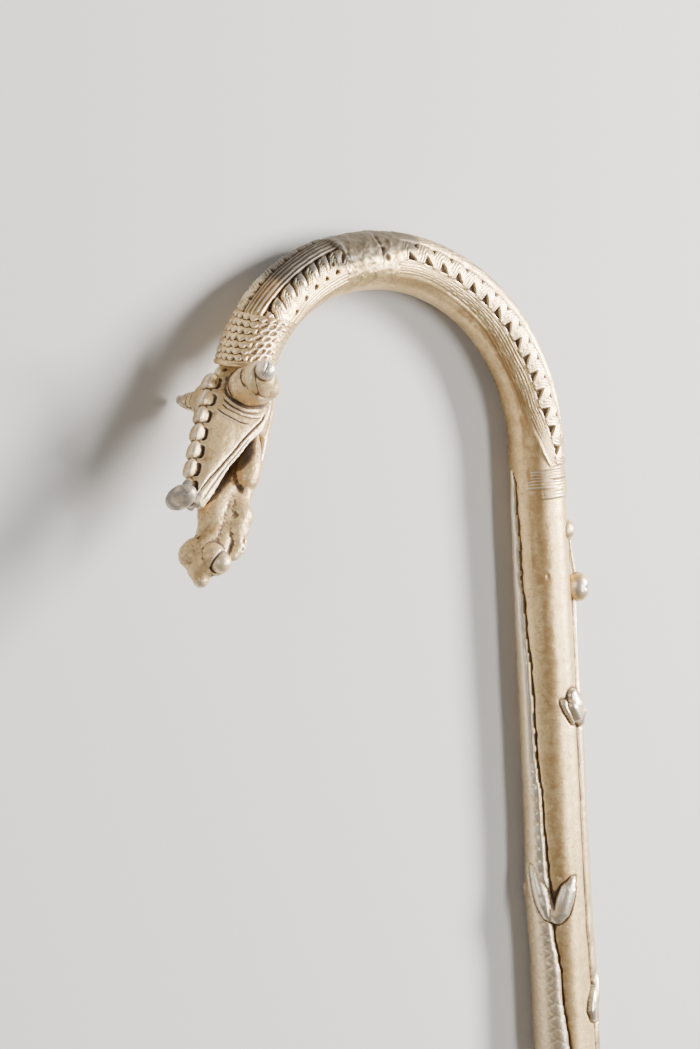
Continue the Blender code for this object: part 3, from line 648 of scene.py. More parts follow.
def tube_piece(name, start, end, row_step, columns, relief):
    """One stretch of the tube between two distances, with its relief and masks."""
    rows = round((end - start) / row_step) + 1
    degrees = np.linspace(0, 360, columns, endpoint=False)
    distance, turned = np.meshgrid(np.linspace(start, end, rows), degrees, indexing="ij")
    height = relief(distance, turned)
    floor_limit = FLAT_DEPTH / np.maximum(-np.sin(np.radians(turned)), 0.3)
    radius = np.minimum(through(FOOT_TAPER, distance + SHAFT_LENGTH) + height, floor_limit)
    made = ring_skin(name, tube(slanted(distance, from_spine(distance, turned)), turned, radius))
    margin = MASK_MARGIN * row_step
    wide = np.linspace(start - margin, end + margin, rows + 2 * MASK_MARGIN)
    wide_sheet = np.meshgrid(np.clip(wide, -SHAFT_LENGTH, RIM_END), degrees, indexing="ij")
    hollow, high = hollow_masks(relief(*wide_sheet), row_step, 360 / columns * DEGREE)
    masks = tube_masks(distance, turned)
    masks["polish"] = 0.22 * step(0.6, 1.5, height) * (distance < -COLLAR_START)
    masks["hollow"], masks["high"] = hollow[MASK_MARGIN:-MASK_MARGIN], high[MASK_MARGIN:-MASK_MARGIN]
    set_masks(made, **{mask: np.append(values, (0, 0)) for mask, values in masks.items()})
    return made


# %% The stretches of the tube
SEAM_COLLAR, SEAM_CREATURES, SEAM_FOOT = -30, -205, -434


def crook_and_collar_relief(distance, degrees):
    on_crook = distance > -(COLLAR_START - 0.3)
    return np.where(on_crook, crook_relief(distance, degrees), shaft_relief(distance, degrees))


STRETCHES = (
    ("crook_shaft_half", SEAM_COLLAR, CROOK_TOP, 0.46, 182, crook_and_collar_relief),
    ("crook_neck_half", CROOK_TOP, RIM_END, 0.38, 210, crook_relief),
    ("shaft_upper", SEAM_CREATURES, SEAM_COLLAR, 0.55, 160, shaft_relief),
    ("shaft_creatures", SEAM_FOOT, SEAM_CREATURES, 0.52, 176, shaft_relief),
    ("shaft_foot", -SHAFT_LENGTH, SEAM_FOOT, 1.1, 80, shaft_relief),
)
pieces = [tube_piece(*stretch) for stretch in STRETCHES]
for piece in pieces:
    print(piece.name, len(piece.data.polygons), "faces")

# %% [markdown]
# ## Wax rolls and pellets for the head
# The head and the frog were pinched together from pellets, so they are built the same way: lofted
# forms, rolls along curved lines and stretched balls are put into one mesh, then a voxel remesh
# fuses them into one skin, and smoothing takes away the corners as warm fingers would.

# %% Curves, lofts, rolls and balls
ROLL_SIDES = 20
END_SLIDES = (0, 0.4, 0.7, 0.9, 0.98)


def curve_through(points, steps, closed=False):
    """Points on a smooth curve through the given ones."""
    points = np.asarray(points, dtype=float)
    count = len(points)
    t = np.arange(steps)[:, None] / steps
    made = []
    for span in range(count if closed else count - 1):
        pick = np.arange(span - 1, span + 3)
        before, start, end, after = points[pick % count if closed else np.clip(pick, 0, count - 1)]
        made.append(0.5 * (2 * start + (end - before) * t
                           + (2 * before - 5 * start + 4 * end - after) * t ** 2
                           + (3 * start - before - 3 * end + after) * t ** 3))
    return np.concatenate(made if closed else made + [points[-1:]])


def add_rings(wax, rings):
    """Adds one closed skin through rings of points to the wax, a bmesh."""
    loops = [[wax.verts.new(point) for point in ring] for ring in rings]
    for lower, upper in zip(loops, loops[1:]):
        for i in range(len(lower)):
            wax.faces.new((lower[i - 1], lower[i], upper[i], upper[i - 1]))
    for loop in (loops[0], loops[-1]):
        middle = wax.verts.new(sum((vertex.co for vertex in loop), Vector()) / len(loop))
        for i in range(len(loop)):
            wax.faces.new((loop[i - 1], loop[i], middle))


def add_roll(wax, rows, point_at, up):
    """A roll with rounded ends through rows of three sizes, for point_at, and a radius."""
    line = curve_through([(*point_at(*row[:3]), row[3] * MM) for row in rows], 6)
    centres, sizes = line[:, :3], line[:, 3]
    last = len(line) - 1
    slides = {0: [-slide for slide in reversed(END_SLIDES)], last: END_SLIDES}
    turns = np.linspace(0, 2 * math.pi, ROLL_SIDES, endpoint=False)
    rings = []
    for i, (centre, size) in enumerate(zip(centres, sizes)):
        along = centres[min(i + 1, last)] - centres[max(i - 1, 0)]
        along = along / np.linalg.norm(along)
        across = np.cross(along, up)
        across /= np.linalg.norm(across)
        ring = np.outer(np.cos(turns), across) + np.outer(np.sin(turns), np.cross(along, across))
        for slide in slides.get(i, (0,)):
            rings.append(centre + (along * slide + ring * math.sqrt(1 - slide * slide)) * size)
    add_rings(wax, rings)


def add_ball(wax, centre, axes, squareness=2, rings=18):
    """A ball stretched along three half axes. More squareness pushes its sides out towards a box."""
    made = bmesh.ops.create_uvsphere(wax, u_segments=28, v_segments=rings, radius=1)
    stretch = Matrix(np.transpose(axes) * MM)
    for vertex in made["verts"]:
        size = sum(abs(value) ** squareness for value in vertex.co) ** (1 / squareness)
        vertex.co = Vector(centre) + stretch @ (vertex.co / size)


def fused(name, wax, voxel, rounds):
    """Fuses everything in the wax into one smooth skin."""
    bmesh.ops.recalc_face_normals(wax, faces=wax.faces)
    data = bpy.data.meshes.new(name + "_wax")
    wax.to_mesh(data)
    wax.free()
    rough = linked(name + "_wax", data)
    remesh = rough.modifiers.new("fuse", "REMESH")
    remesh.mode = "VOXEL"
    remesh.voxel_size = voxel * MM
    smooth = rough.modifiers.new("warm_fingers", "SMOOTH")
    smooth.factor = 0.5
    smooth.iterations = rounds
    skin = bpy.data.meshes.new_from_object(rough.evaluated_get(bpy.context.evaluated_depsgraph_get()))
    bpy.data.objects.remove(rough, do_unlink=True)
    return linked(name, skin)


def softened(wax, voxel, rounds):
    """The same wax after its forms have melted into each other, ready for crisp additions."""
    melted = fused("melted", wax, voxel, rounds)
    soft = bmesh.new()
    soft.from_mesh(melted.data)
    bpy.data.objects.remove(melted, do_unlink=True)
    return soft


# %% Points of a skin and of the head
def skin_points(piece):
    """The points of a piece and the direction of its surface at each."""
    sheets = []
    for values, key in ((piece.data.vertices, "co"), (piece.data.vertex_normals, "vector")):
        numbers = np.empty(len(values) * 3)
        values.foreach_get(key, numbers)
        sheets.append(numbers.reshape(-1, 3))
    return sheets


def press(piece, height):
    """Moves every point along the surface's own direction."""
    points, normals = skin_points(piece)
    moved = points + normals * (height * MM)[:, None]
    piece.data.vertices.foreach_set("co", moved.astype(np.float32).ravel())
    piece.data.update()


def lumps(points, size, seed):
    """Soft random lumps in space, from about -1 to 1."""
    shift = Vector((seed * 3.7, seed * 1.3, seed * 2.1))
    return np.array([noise.noise(Vector(point) / size + shift) for point in points / MM])


def from_point(points, centre):
    """Distances from one point to many."""
    return np.linalg.norm(points - centre, axis=1) / MM


head_origin, head_along, head_up, head_side = path(NECK_END)


def head_point(along, up, side):
    """A point of the head: along it from the neck, towards its crest, and to the viewer's side."""
    return head_origin + (head_along * along + head_up * up + head_side * side) * MM


def head_places(points):
    """How far points are along, up and to the side of the head."""
    away = (points - head_origin) / MM
    return away @ head_along, away @ head_up, away @ head_side


print("the head starts at", np.round(head_origin, 4))

# %% [markdown]
# ## The serpent's head
# A long head hangs from the neck: a crest of rounded lobes along its ridge, eyes on domes with
# polished knobs, a ball of a nose, double lips and a thin lower jaw. The skull and the jaw are
# lofted from outlines that change along the head and melted together with the domes of the eyes.
# The crest, the knobs and the nose are pressed on afterwards, so that their edges stay crisp.

# %% Skull and jaw
SKULL_TOP = ((-6, 8), (6, 11.2), (14, 13.4), (20, 14.2), (29, 14.2), (38, 14), (47.5, 13), (55.6, 12),
             (66, 10.8), (79, 8.2))
LIP_LINE = ((-6, -6.5), (12, -9.5), (24, -12), (34, -10.9), (42, -6.8), (50, -4.3), (57, -1.7), (66, -0.1),
            (72.5, 0.9), (77, 1.8))
LIP_GROOVE = ((20, -9.6), (29, -9.1), (37.5, -5.2), (44.5, -2.5), (52, 0), (59, 2.5), (66, 5.2), (72, 7.1),
              (79, 8.6))
THROAT = ((-6, -10), (12, -16), (35, -18))
HALF_WIDTH = ((-6, 9), (12, 12), (34, 11.5), (54, 9), (74, 5.6), (79, 3.6))
MOUTH_CORNER = 35
JAW_LOW = ((8, -15.5), (20, -19), (34, -20.6), (47, -22.2), (59, -21.9), (67, -20))
JAW_HALF_WIDTH = ((8, 8), (20, 8.6), (36, 8.2), (59, 5.5), (67, 2.6))
JAW_WALL = ((20, 5.5), (36, 3.6), (47, 2.2))


def mirrored(half):
    return [(up, -side) for up, side in reversed(half)]


def skull_outline(place):
    top, lip, side = (through(table, place) for table in (SKULL_TOP, LIP_LINE, HALF_WIDTH))
    groove, throat = max(through(LIP_GROOVE, place), lip + 1.4), through(THROAT, place)
    gape = step(MOUTH_CORNER - 2, MOUTH_CORNER + 1, place)
    low = ((throat + 2.5) * (1 - gape) + (lip + 0.8) * gape, side * 0.68 * (1 - gape) + (side - 2.6) * gape)
    half = [(top, 1.3), (top - 1.4, 3), ((top - 1.4 + groove) / 2, (3 + side) / 2 + 1.4),
            (groove + 0.8, side - 0.1), (groove, side - 0.5), (groove - 0.8, side + 0.3),
            (lip + 0.3, side + 0.6), (lip - 0.1, side - 0.2), low]
    return half + [(throat * (1 - gape) + (lip + 2) * gape, 0)] + mirrored(half)


def jaw_outline(place):
    low, side, wall = (through(table, place) for table in (JAW_LOW, JAW_HALF_WIDTH, JAW_WALL))
    half = [(low + 1, 0.7 * side), (low + 4.2, side), (low + wall + 2.2, side - 1.4),
            (low + wall + 0.4, 0.5 * side)]
    return [(low, 0)] + half + [(low + wall, 0)] + mirrored(half)


def add_loft(wax, outline, start, end, steps):
    """A form along the head whose outline, rows of up and side, changes every millimetre."""
    sections = [(place, curve_through(outline(place), steps, closed=True)) for place in range(start, end)]
    add_rings(wax, [[head_point(place, *point) for point in section] for place, section in sections])


# %% Eyes, crest and nose
EYE_PLACE, EYE_HEIGHT = 17.4, 1.6
EYE_DOMES = ((17.4, 1, 14.4, 9.3), (18.4, 2.4, 10.6, 8.6), (17.2, 3.2, 18.4, 8), (18, -3, 18.2, 5.2),
             (19.4, 1.4, -13, 9.6))
FAR_CONE = ((19.3, 2.2, -16, 7.4), (18.7, 5.2, -21.2, 4.8))
NEAR_KNOB, NEAR_KNOB_RADIUS = (17.2, 6.8, 26.8), 4.45
FAR_KNOB, FAR_KNOB_ROLL = (18.3, 7.3, -26.4), ((18.5, 6.6, -24.5, 4.1), (18.2, 7.8, -27.4, 2.7))
NOSE = (78, 12, 0)
CREST_LOBES, CREST_FIRST, CREST_LAST = 7, 20.4, 71.4
CREST_STEP = (CREST_LAST - CREST_FIRST) / (CREST_LOBES - 1)
CREST_TILT = math.radians(8)
LOBE_AXES, LAST_LOBE = (4.4, 2.6, 3.4), 0.86


def skull_top(place):
    return through(SKULL_TOP, place)


def add_crest(wax):
    for number in range(CREST_LOBES):
        place = CREST_FIRST + CREST_STEP * number
        slope = (skull_top(place + 4) - skull_top(place - 4)) / 8
        lean = head_along + head_up * (slope + 0.13)
        lean = lean / np.linalg.norm(lean)
        over = np.cross(head_side, lean)
        face = over * math.cos(CREST_TILT) + head_side * math.sin(CREST_TILT)
        width = head_side * math.cos(CREST_TILT) - over * math.sin(CREST_TILT)
        size = np.array(LOBE_AXES)[:, None] * (LAST_LOBE if number == CREST_LOBES - 1 else 1)
        lift = np.interp(place, (20, 36), (0.8, 0))
        centre = head_point(place, skull_top(place) + lift, -0.7)
        add_ball(wax, centre, np.array((lean, face, width)) * size, squareness=2.9, rings=16)
    places = np.linspace(CREST_FIRST - 8, CREST_LAST + 4, 12)
    add_roll(wax, [(place, skull_top(place) - 1, 0, 1.7) for place in places], head_point, head_side)


wax = bmesh.new()
add_loft(wax, skull_outline, -6, 80, 3)
add_loft(wax, jaw_outline, 8, 68, 4)
for *centre, radius in EYE_DOMES:
    add_ball(wax, head_point(*centre), np.identity(3) * radius)
add_roll(wax, FAR_CONE, head_point, head_along)
wax = softened(wax, 0.65, 5)
add_crest(wax)
add_ball(wax, head_point(*NEAR_KNOB), np.identity(3) * NEAR_KNOB_RADIUS)
add_roll(wax, FAR_KNOB_ROLL, head_point, head_along)
nose_lean = head_side * 0.97 - head_along * 0.12
add_ball(wax, head_point(*NOSE), (nose_lean * 8.4, head_up * 5.2, head_along * 5.2))
head = fused("serpent_head", wax, 0.39, 3)
print("head", len(head.data.polygons), "faces")

# %% [markdown]
# ## Lines pressed into the head
# The caster drew with a pointed stick: rings around the eye, a deep arc on the cheek, a double
# line along the lip and a dug-out crescent beside each lobe of the crest. These are heights
# again, worked out from where each point lies on the head, and pressed in along its surface.

# %% Lines on the head
RING_START, RING_STEP, RING_COUNT = 7.4, 2.5, 3
CHEEK_ARC = 17.8


def eye_lines(away, wander, around, facing, side, cheek):
    """Rings around the near and far eye, and one longer arc on each cheek."""
    rings = window(RING_START, RING_START + RING_COUNT * RING_STEP, 0.15, away)
    rings = rings * window(-30, 125, 30, around) * step(-0.1, 0.1, facing) * step(4.6, 6.4, side)
    from_arc = away + wander - CHEEK_ARC
    arc = 0.70 * trench(from_arc, 0.45) * window(-12, 70, 8, around)
    lip = 0.30 * trench(from_arc - 0.95, 0.5) * window(-12, 45, 8, around)
    drawn = rings * (0.80 * lines(away + wander - RING_START, RING_STEP) - 0.35)
    return drawn + (lip - arc) * cheek * step(4, 5.5, side)


def lip_lines(place, up, wander, cheek):
    """Two grooves along the upper lip, with a soft ridge between them."""
    below = up - through(LIP_GROOVE, place) + 0.6 * wander
    band = through(LIP_LINE, place) - through(LIP_GROOVE, place)
    second = 0.34 * trench(below - 0.55 * band, 0.36) * step(38, 46, place)
    ridge = 0.22 * trench(below - 0.28 * band, 0.45)
    return (ridge - 0.65 * trench(below, 0.38) - second) * window(27, 76, 2.5, place) * cheek


def crest_lines(place, up, side):
    """A crescent dug out beside each lobe, and a hole behind the first one."""
    within = nearest((place - CREST_FIRST) / CREST_STEP, 1)
    lobe_edge = 2.8 * np.sqrt(np.clip(1 - (2 * np.abs(within)) ** 2.7, 0, 1)) ** 0.8
    over = up - skull_top(place)
    near_crest = window(16.5, 74, 1, place) * step(0.8, 1.8, side) * step(-5.5, -3.5, over)
    deep = (0.6 + 0.7 * step(22, 32, place)) * near_crest * window(-0.30, 0.42, 0.08, within)
    socket = trench(np.hypot((place - 12.6) * 0.7, over + 1.6), 1.4) * step(0, 2, side) * step(9, 6, side)
    return -deep * trench(side - lobe_edge - 0.65, 0.55) - 0.8 * socket


def head_relief(points, normals):
    place, up, side = head_places(points)
    facing = normals @ head_side * np.sign(side)
    cheek = step(0.15, 0.45, facing)
    wander = 0.25 * lumps(points, 4, 2)
    away = np.hypot(place - EYE_PLACE, up - EYE_HEIGHT)
    around = np.degrees(np.arctan2(up - EYE_HEIGHT, place - EYE_PLACE))
    relief = eye_lines(away, wander, around, facing, np.abs(side), cheek)
    relief += lip_lines(place, up, wander, cheek) + crest_lines(place, up, side)
    crease = np.hypot(place - 22.6 - 0.7 * (up - 4.5), 0.35 * (up - 4.5))
    relief -= 0.12 * trench(crease, 0.5) * window(1.5, 8, 1, up) * step(14, 17, side)
    skin = 0.16 * lumps(points, 3.4, 5) + 0.07 * lumps(points, 1.3, 6)
    return relief + skin * step(2, 5, from_point(points, head_point(17.9, 6.9, 26.6)))


press(head, head_relief(*skin_points(head)))
pieces.append(head)
print(RING_COUNT, "rings round each eye and", CREST_LOBES, "lobes on the crest")

# %% [markdown]
# ## The frog
# The serpent has taken the frog from behind, so its hind leg lies along the jaw, and its head
# with two bulging eyes hangs free. It is turned with its back to the viewer. Its limbs are
# pellets that melt into the body, and only the eyeball and its lid are pressed on afterwards.
# Most rolls follow the frog's own directions, and those along the jaw follow the serpent's head.

# %% Frog
FROG_TURN = math.radians(57)
FROG_ROLLS = (
    ((44, 2.5, -4.5, 5), (56, 2.2, -3.6, 6.2), (66, 0.4, -1.4, 7), (74, -1.4, 0, 7.6), (81, -0.4, 0.2, 6.8),
     (88, -0.8, -0.6, 6.4)),
    ((92, -1.2, -1, 7), (97, -1.4, -0.8, 8.2), (102.5, -1.6, -1.4, 6.4), (106.4, -0.8, -1.8, 3.6)),
    ((94.6, -5.4, -1, 6.2), (97.2, -6.6, -0.6, 6.2)),
    ((95, 2.6, 0.2, 6), (98, 4.2, 0.6, 5.6)),
    ((66, 6.5, 0, 4), (73.3, 9.6, 0.8, 6), (76.5, 9.4, 1, 4.9)),
    ((76.5, 9.6, 1, 4.8), (80.8, 10, 1.2, 5.4), (84.5, 10.4, 0.8, 4.4)),
    ((84, 11.2, 0.6, 4), (88, 11.6, 0.4, 4), (92, 10.6, 0.4, 2.8)),
    ((68, 4.6, -0.4, 5.4), (78, 4.8, 0.2, 5.8), (90, 4.6, 0, 5)),
)
JAW_SIDE_ROLLS = (
    ((34.5, -10.2, 6.8, 2.2), (43, -11.2, 7.6, 4.2), (50, -12.2, 7.8, 5.4), (56, -13.2, 7.4, 5.2)),
    ((57, -14, 6.6, 3.6), (62, -14.6, 6.2, 3), (66.5, -15.6, 5.6, 3.6)),
    ((36, -13, -6.6, 3.4), (56, -12.5, -6, 5.4)),
    ((66, -11, -4, 4.2), (76, -13, -5.8, 5), (84, -14, -6, 3.8)),
)
FROG_LID, FROG_EYE = (97, 1.6, 3.7, 5.8), (99, 5.8, 4.4, 4.7)
FROG_DENTS = (((85.6, 14, 3), 1.3, 1.2), ((89.5, 14.2, 2.6), 0.8, 0.6), ((83, -1.8, 5.6), 1, 0.25))


def frog_point(place, across, above):
    """A point of the frog in its own directions: along, across and above its back."""
    droop = np.interp(place, (80, 107), (0, 2.6))
    up = -7.6 - droop - across * math.sin(FROG_TURN) + above * math.cos(FROG_TURN)
    side = 1 + across * math.cos(FROG_TURN) + above * math.sin(FROG_TURN)
    return head_point(place, up, side)


wax = bmesh.new()
for point_at, rolls in ((frog_point, FROG_ROLLS), (head_point, JAW_SIDE_ROLLS)):
    for roll in rolls:
        add_roll(wax, roll, point_at, head_side)
wax = softened(wax, 0.65, 6)
for *centre, radius in (FROG_LID, FROG_EYE):
    add_ball(wax, frog_point(*centre), np.identity(3) * radius)
frog = fused("frog", wax, 0.38, 3)
points = skin_points(frog)[0]
dents = 0.14 * lumps(points, 3, 11) + 0.10 * lumps(points, 1.2, 12)
for place, size, depth in FROG_DENTS:
    dents -= depth * trench(from_point(points, frog_point(*place)), size)
from_eye = from_point(points, frog_point(*FROG_EYE[:3])) - FROG_EYE[3]
press(frog, dents * step(0.1, 0.7, from_eye) - 0.7 * trench(from_eye - 0.45, 0.35))
pieces.append(frog)
print("frog", len(frog.data.polygons), "faces")

# %% [markdown]
# ## The second lizard's head
# Its ball of a head stands clear of the shaft and holds a thin rod that runs up to a knob. These
# undercut forms can't be relief, so they are rolls and balls of their own.

# %% Ball head, rod and knob
ROD = ((47, B_TURN + 6, 0.2, 1), (60, B_TURN + 2, 1.6, 1), (70, B_TURN, 3.4, 1))


def shaft_point(below, degrees, lift):
    return tube(-below, degrees, TUBE_RADIUS + lift)


out = shaft_point(B_HEAD, B_TURN, 1) - shaft_point(B_HEAD, B_TURN, 0)
out /= np.linalg.norm(out)
up_shaft = np.array((0, 1, 0))
wax = bmesh.new()
add_ball(wax, shaft_point(B_HEAD, B_TURN, 3.4), (out * 5.8, up_shaft * 7.2, np.cross(out, up_shaft) * 5.4))
add_roll(wax, ROD, shaft_point, out)
add_ball(wax, shaft_point(B_KNOB, B_KNOB_TURN, -1.9), np.identity(3) * 5.4)
ball_head = fused("creature_b_head", wax, 0.35, 3)
mouth_place = shaft_point(B_HEAD, B_TURN + 4, 8.8)
mouth = np.linalg.norm((skin_points(ball_head)[0] - mouth_place) * (0.7, 1.7, 0.7), axis=1) / MM
press(ball_head, -2.4 * trench(mouth, 1.7))
pieces.append(ball_head)
print("ball head", len(ball_head.data.polygons), "faces")

# %% [markdown]
# ## Where soil settles, shade is painted and hands polish
# Old cast metal is brown in its hollows and bright on its high places. Here broad hollows are also
# painted darker as shade, and high places get a painted highlight as well as wear. A material
# can't see the shape around a point well, but the mesh can: when every point moves to the average
# of its neighbours a few times, points in hollows rise and points on ridges sink. How far they moved
# along the surface's direction is kept on the mesh as two masks, one for hollows, soil and painted
# shade, and one for wear and painted highlight.
# The tube's masks came from its sheets of heights, so only the head, the frog and the ball head
# are left. Places that hands rubbed bright are balls: a centre, a reach and how bright it is.

# %% Hollows, high places and stains
FINE_ROUNDS, BROAD_ROUNDS = 6, 45
FINE_DEPTH, BROAD_DEPTH = 0.10, 0.45
MOUTH_GAP = ((36, 1.5), (46, 5.5), (60, 6.5), (72, 3.5), (78, 1))
POLISHED = {
    head: ((head_point(*NEAR_KNOB), 4, 1), (head_point(*FAR_KNOB), 3, 0.6), (head_point(*NOSE), 7.6, 0.35)),
    frog: ((frog_point(*FROG_EYE[:3]), 4.4, 0.2),),
    ball_head: ((shaft_point(B_HEAD, B_TURN, 3.6), 5.4, 0.45),
                (shaft_point(B_KNOB, B_KNOB_TURN, -1.6), 4.6, 0.5)),
}


def relaxed(points, starts, ends, rounds):
    """The points after moving to the average of their neighbours a number of times."""
    size = len(points)
    count = np.bincount(starts, minlength=size)[:, None]
    for _ in range(rounds):
        sums = [np.bincount(starts, weights=points[ends, axis], minlength=size) for axis in range(3)]
        points = 0.5 * points + 0.5 * np.stack(sums, axis=1) / count
    return points


def hollow_and_high(piece, points, normals):
    edges = np.empty(len(piece.data.edges) * 2, dtype=np.int64)
    piece.data.edges.foreach_get("vertices", edges)
    starts = np.concatenate([edges[::2], edges[1::2]])
    ends = np.concatenate([edges[1::2], edges[::2]])
    fine = relaxed(points, starts, ends, FINE_ROUNDS)
    broad = relaxed(fine, starts, ends, BROAD_ROUNDS)
    rise, broad_rise = (((moved - points) * normals).sum(axis=1) / MM for moved in (fine, broad))
    broad_rise -= np.median(broad_rise)
    # Fine hollows hold soil and broad ones are painted shade; high places get wear and a painted highlight.
    hollow = 0.75 * step(0, FINE_DEPTH, rise) + 0.75 * step(0, BROAD_DEPTH, broad_rise)
    high = 0.7 * step(0.01, FINE_DEPTH * 0.7, -rise) + 0.5 * step(0, BROAD_DEPTH, -broad_rise)
    return hollow, high


def mouth_painted_shade(points):
    """Painted shade deep in the serpent's mouth, in the gap between the upper lip and the frog."""
    place, up, _ = head_places(points)
    below_lip = through(LIP_LINE, place) - up
    gap = through(MOUTH_GAP, place)
    return step(-0.3, 0.6, below_lip) * (1 - step(gap - 2, gap, below_lip)) * window(36, 77, 2, place)


def darker_nose_and_dome(points):
    """Darker colour on the nose and on the lower side of the near eye's dome."""
    place, up, side = head_places(points)
    nose = 0.95 * (1 - step(8, 10, from_point(points, head_point(*NOSE))))
    dome = 0.50 * (1 - step(3.5, 9, np.hypot(place - 20, up + 1))) * step(12, 17, side)
    return np.maximum(nose, dome) * (0.75 + 0.5 * lumps(points, 3, 8))


def soaked(points):
    """Orange-brown patches where the soil has soaked in."""
    return 0.75 * step(-0.05, 0.45, lumps(points, 8, 14)) * (0.7 + 0.6 * lumps(points, 1.6, 15))


for piece, rubbed_places in POLISHED.items():
    points, normals = skin_points(piece)
    hollow, high = hollow_and_high(piece, points, normals)
    print(piece.name, "mean hollow", round(hollow.mean(), 3))
    polish = np.zeros(len(points))
    for centre, reach, share in rubbed_places:
        away = from_point(points, centre)
        polish = np.maximum(polish, share * (1 - step(reach, reach + 0.9, away)))
    if piece is not ball_head:
        # The gap under the upper lip gets painted shade through the hollow mask, and no painted highlight.
        lip_shade = mouth_painted_shade(points)
        hollow, high = np.maximum(hollow, lip_shade), high * (1 - lip_shade)
        set_masks(piece, stain=soaked(points))
    set_masks(piece, hollow=hollow, high=high, polish=polish)
set_masks(head, dark=darker_nose_and_dome(skin_points(head)[0]))

# %% [markdown]
# ## Writing a material as sums
# Node graphs are easier to read as formulas. The class below wraps a node's output, so that sums
# and products of values add Math nodes, and one method adds any other node with its settings.

# %% A small language for shader nodes
class Value:
    """A number or colour that varies over the surface. Sums and products of it are Math nodes."""

    def __init__(self, shade, socket):
        self.shade = shade
        self.socket = socket

    def math(self, operation, first, second):
        return self.shade.node("ShaderNodeMath", {"operation": operation}, {0: first, 1: second})

    def __add__(self, other):
        return self.math("ADD", self, other)

    def __sub__(self, other):
        return self.math("SUBTRACT", self, other)

    def __rsub__(self, other):
        return self.math("SUBTRACT", other, self)

    def __mul__(self, other):
        return self.math("MULTIPLY", self, other)

    __radd__ = __add__
    __rmul__ = __mul__

    def between(self, low, high):
        """0 below low and 1 above high, smooth between."""
        sockets = {"Value": self, "From Min": low, "From Max": high}
        return self.shade.node("ShaderNodeMapRange", {"interpolation_type": "SMOOTHSTEP"}, sockets)


class Shade:
    """One material and its nodes."""

    def __init__(self, name):
        self.material = bpy.data.materials.new(name)
        self.material.use_nodes = True
        self.tree = self.material.node_tree
        self.shader = self.tree.nodes["Principled BSDF"]
        self.place = self.node("ShaderNodeTexCoord", {}, {}, "Object")

    def put(self, socket, value):
        if isinstance(value, Value):
            self.tree.links.new(value.socket, socket)
        else:
            socket.default_value = value

    def node(self, kind, settings, sockets, output=0):
        """Adds a node: first its settings, then the values or links of its sockets."""
        made = self.tree.nodes.new(kind)
        for name, value in settings.items():
            setattr(made, name, value)
        for name, value in sockets.items():
            self.put(made.inputs[name], value)
        return Value(self, made.outputs[output])

    def noise(self, size, detail=3, rough=0.55):
        """Noise from 0 to 1 with lumps of a size in millimetres."""
        sockets = {"Vector": self.place, "Scale": 1 / (size * MM), "Detail": detail, "Roughness": rough}
        return self.node("ShaderNodeTexNoise", {}, sockets, "Fac")

    def mask(self, name):
        return self.node("ShaderNodeAttribute", {"attribute_name": name}, {}, "Fac")

    def mix(self, share, first, second):
        """A colour between two, by a share from 0 to 1."""
        settings = {"data_type": "RGBA", "clamp_factor": True}
        return self.node("ShaderNodeMix", settings, {0: share, 6: first, 7: second}, 2)


# %% [markdown]
# ## The patina
# The staff's skin is a pale, slightly yellow metal under a cream bloom. Brown soil sits in every
# hollow, and broad hollows and deep gaps are painted darker still as shade. An orange stain runs up
# the inner side of the crook, its top and inner edge are painted dark grey as shade, high places get
# a painted silver highlight, and knobs that hands touched shine like silver. Real soil is never
# even, so each layer is broken up by noise of its own size before it is mixed in.

# %% Patina
CREAM = (0.83, 0.61, 0.31, 1)
BEIGE = (0.50, 0.315, 0.130, 1)
# The soil colours also stand for painted shade in broad hollows and deep gaps.
BROWN_SOIL_AND_SHADE = (0.090, 0.042, 0.015, 1)
BLACK_SOIL_AND_SHADE = (0.016, 0.010, 0.006, 1)
GOLDEN_SOIL = (0.235, 0.130, 0.045, 1)
ORANGE = (0.340, 0.195, 0.075, 1)
# Dark grey, also painted shade on the crook's top and inner edge.
DARK_PATINA_AND_SHADE = (0.085, 0.072, 0.052, 1)
SILVER = (0.86, 0.84, 0.79, 1)


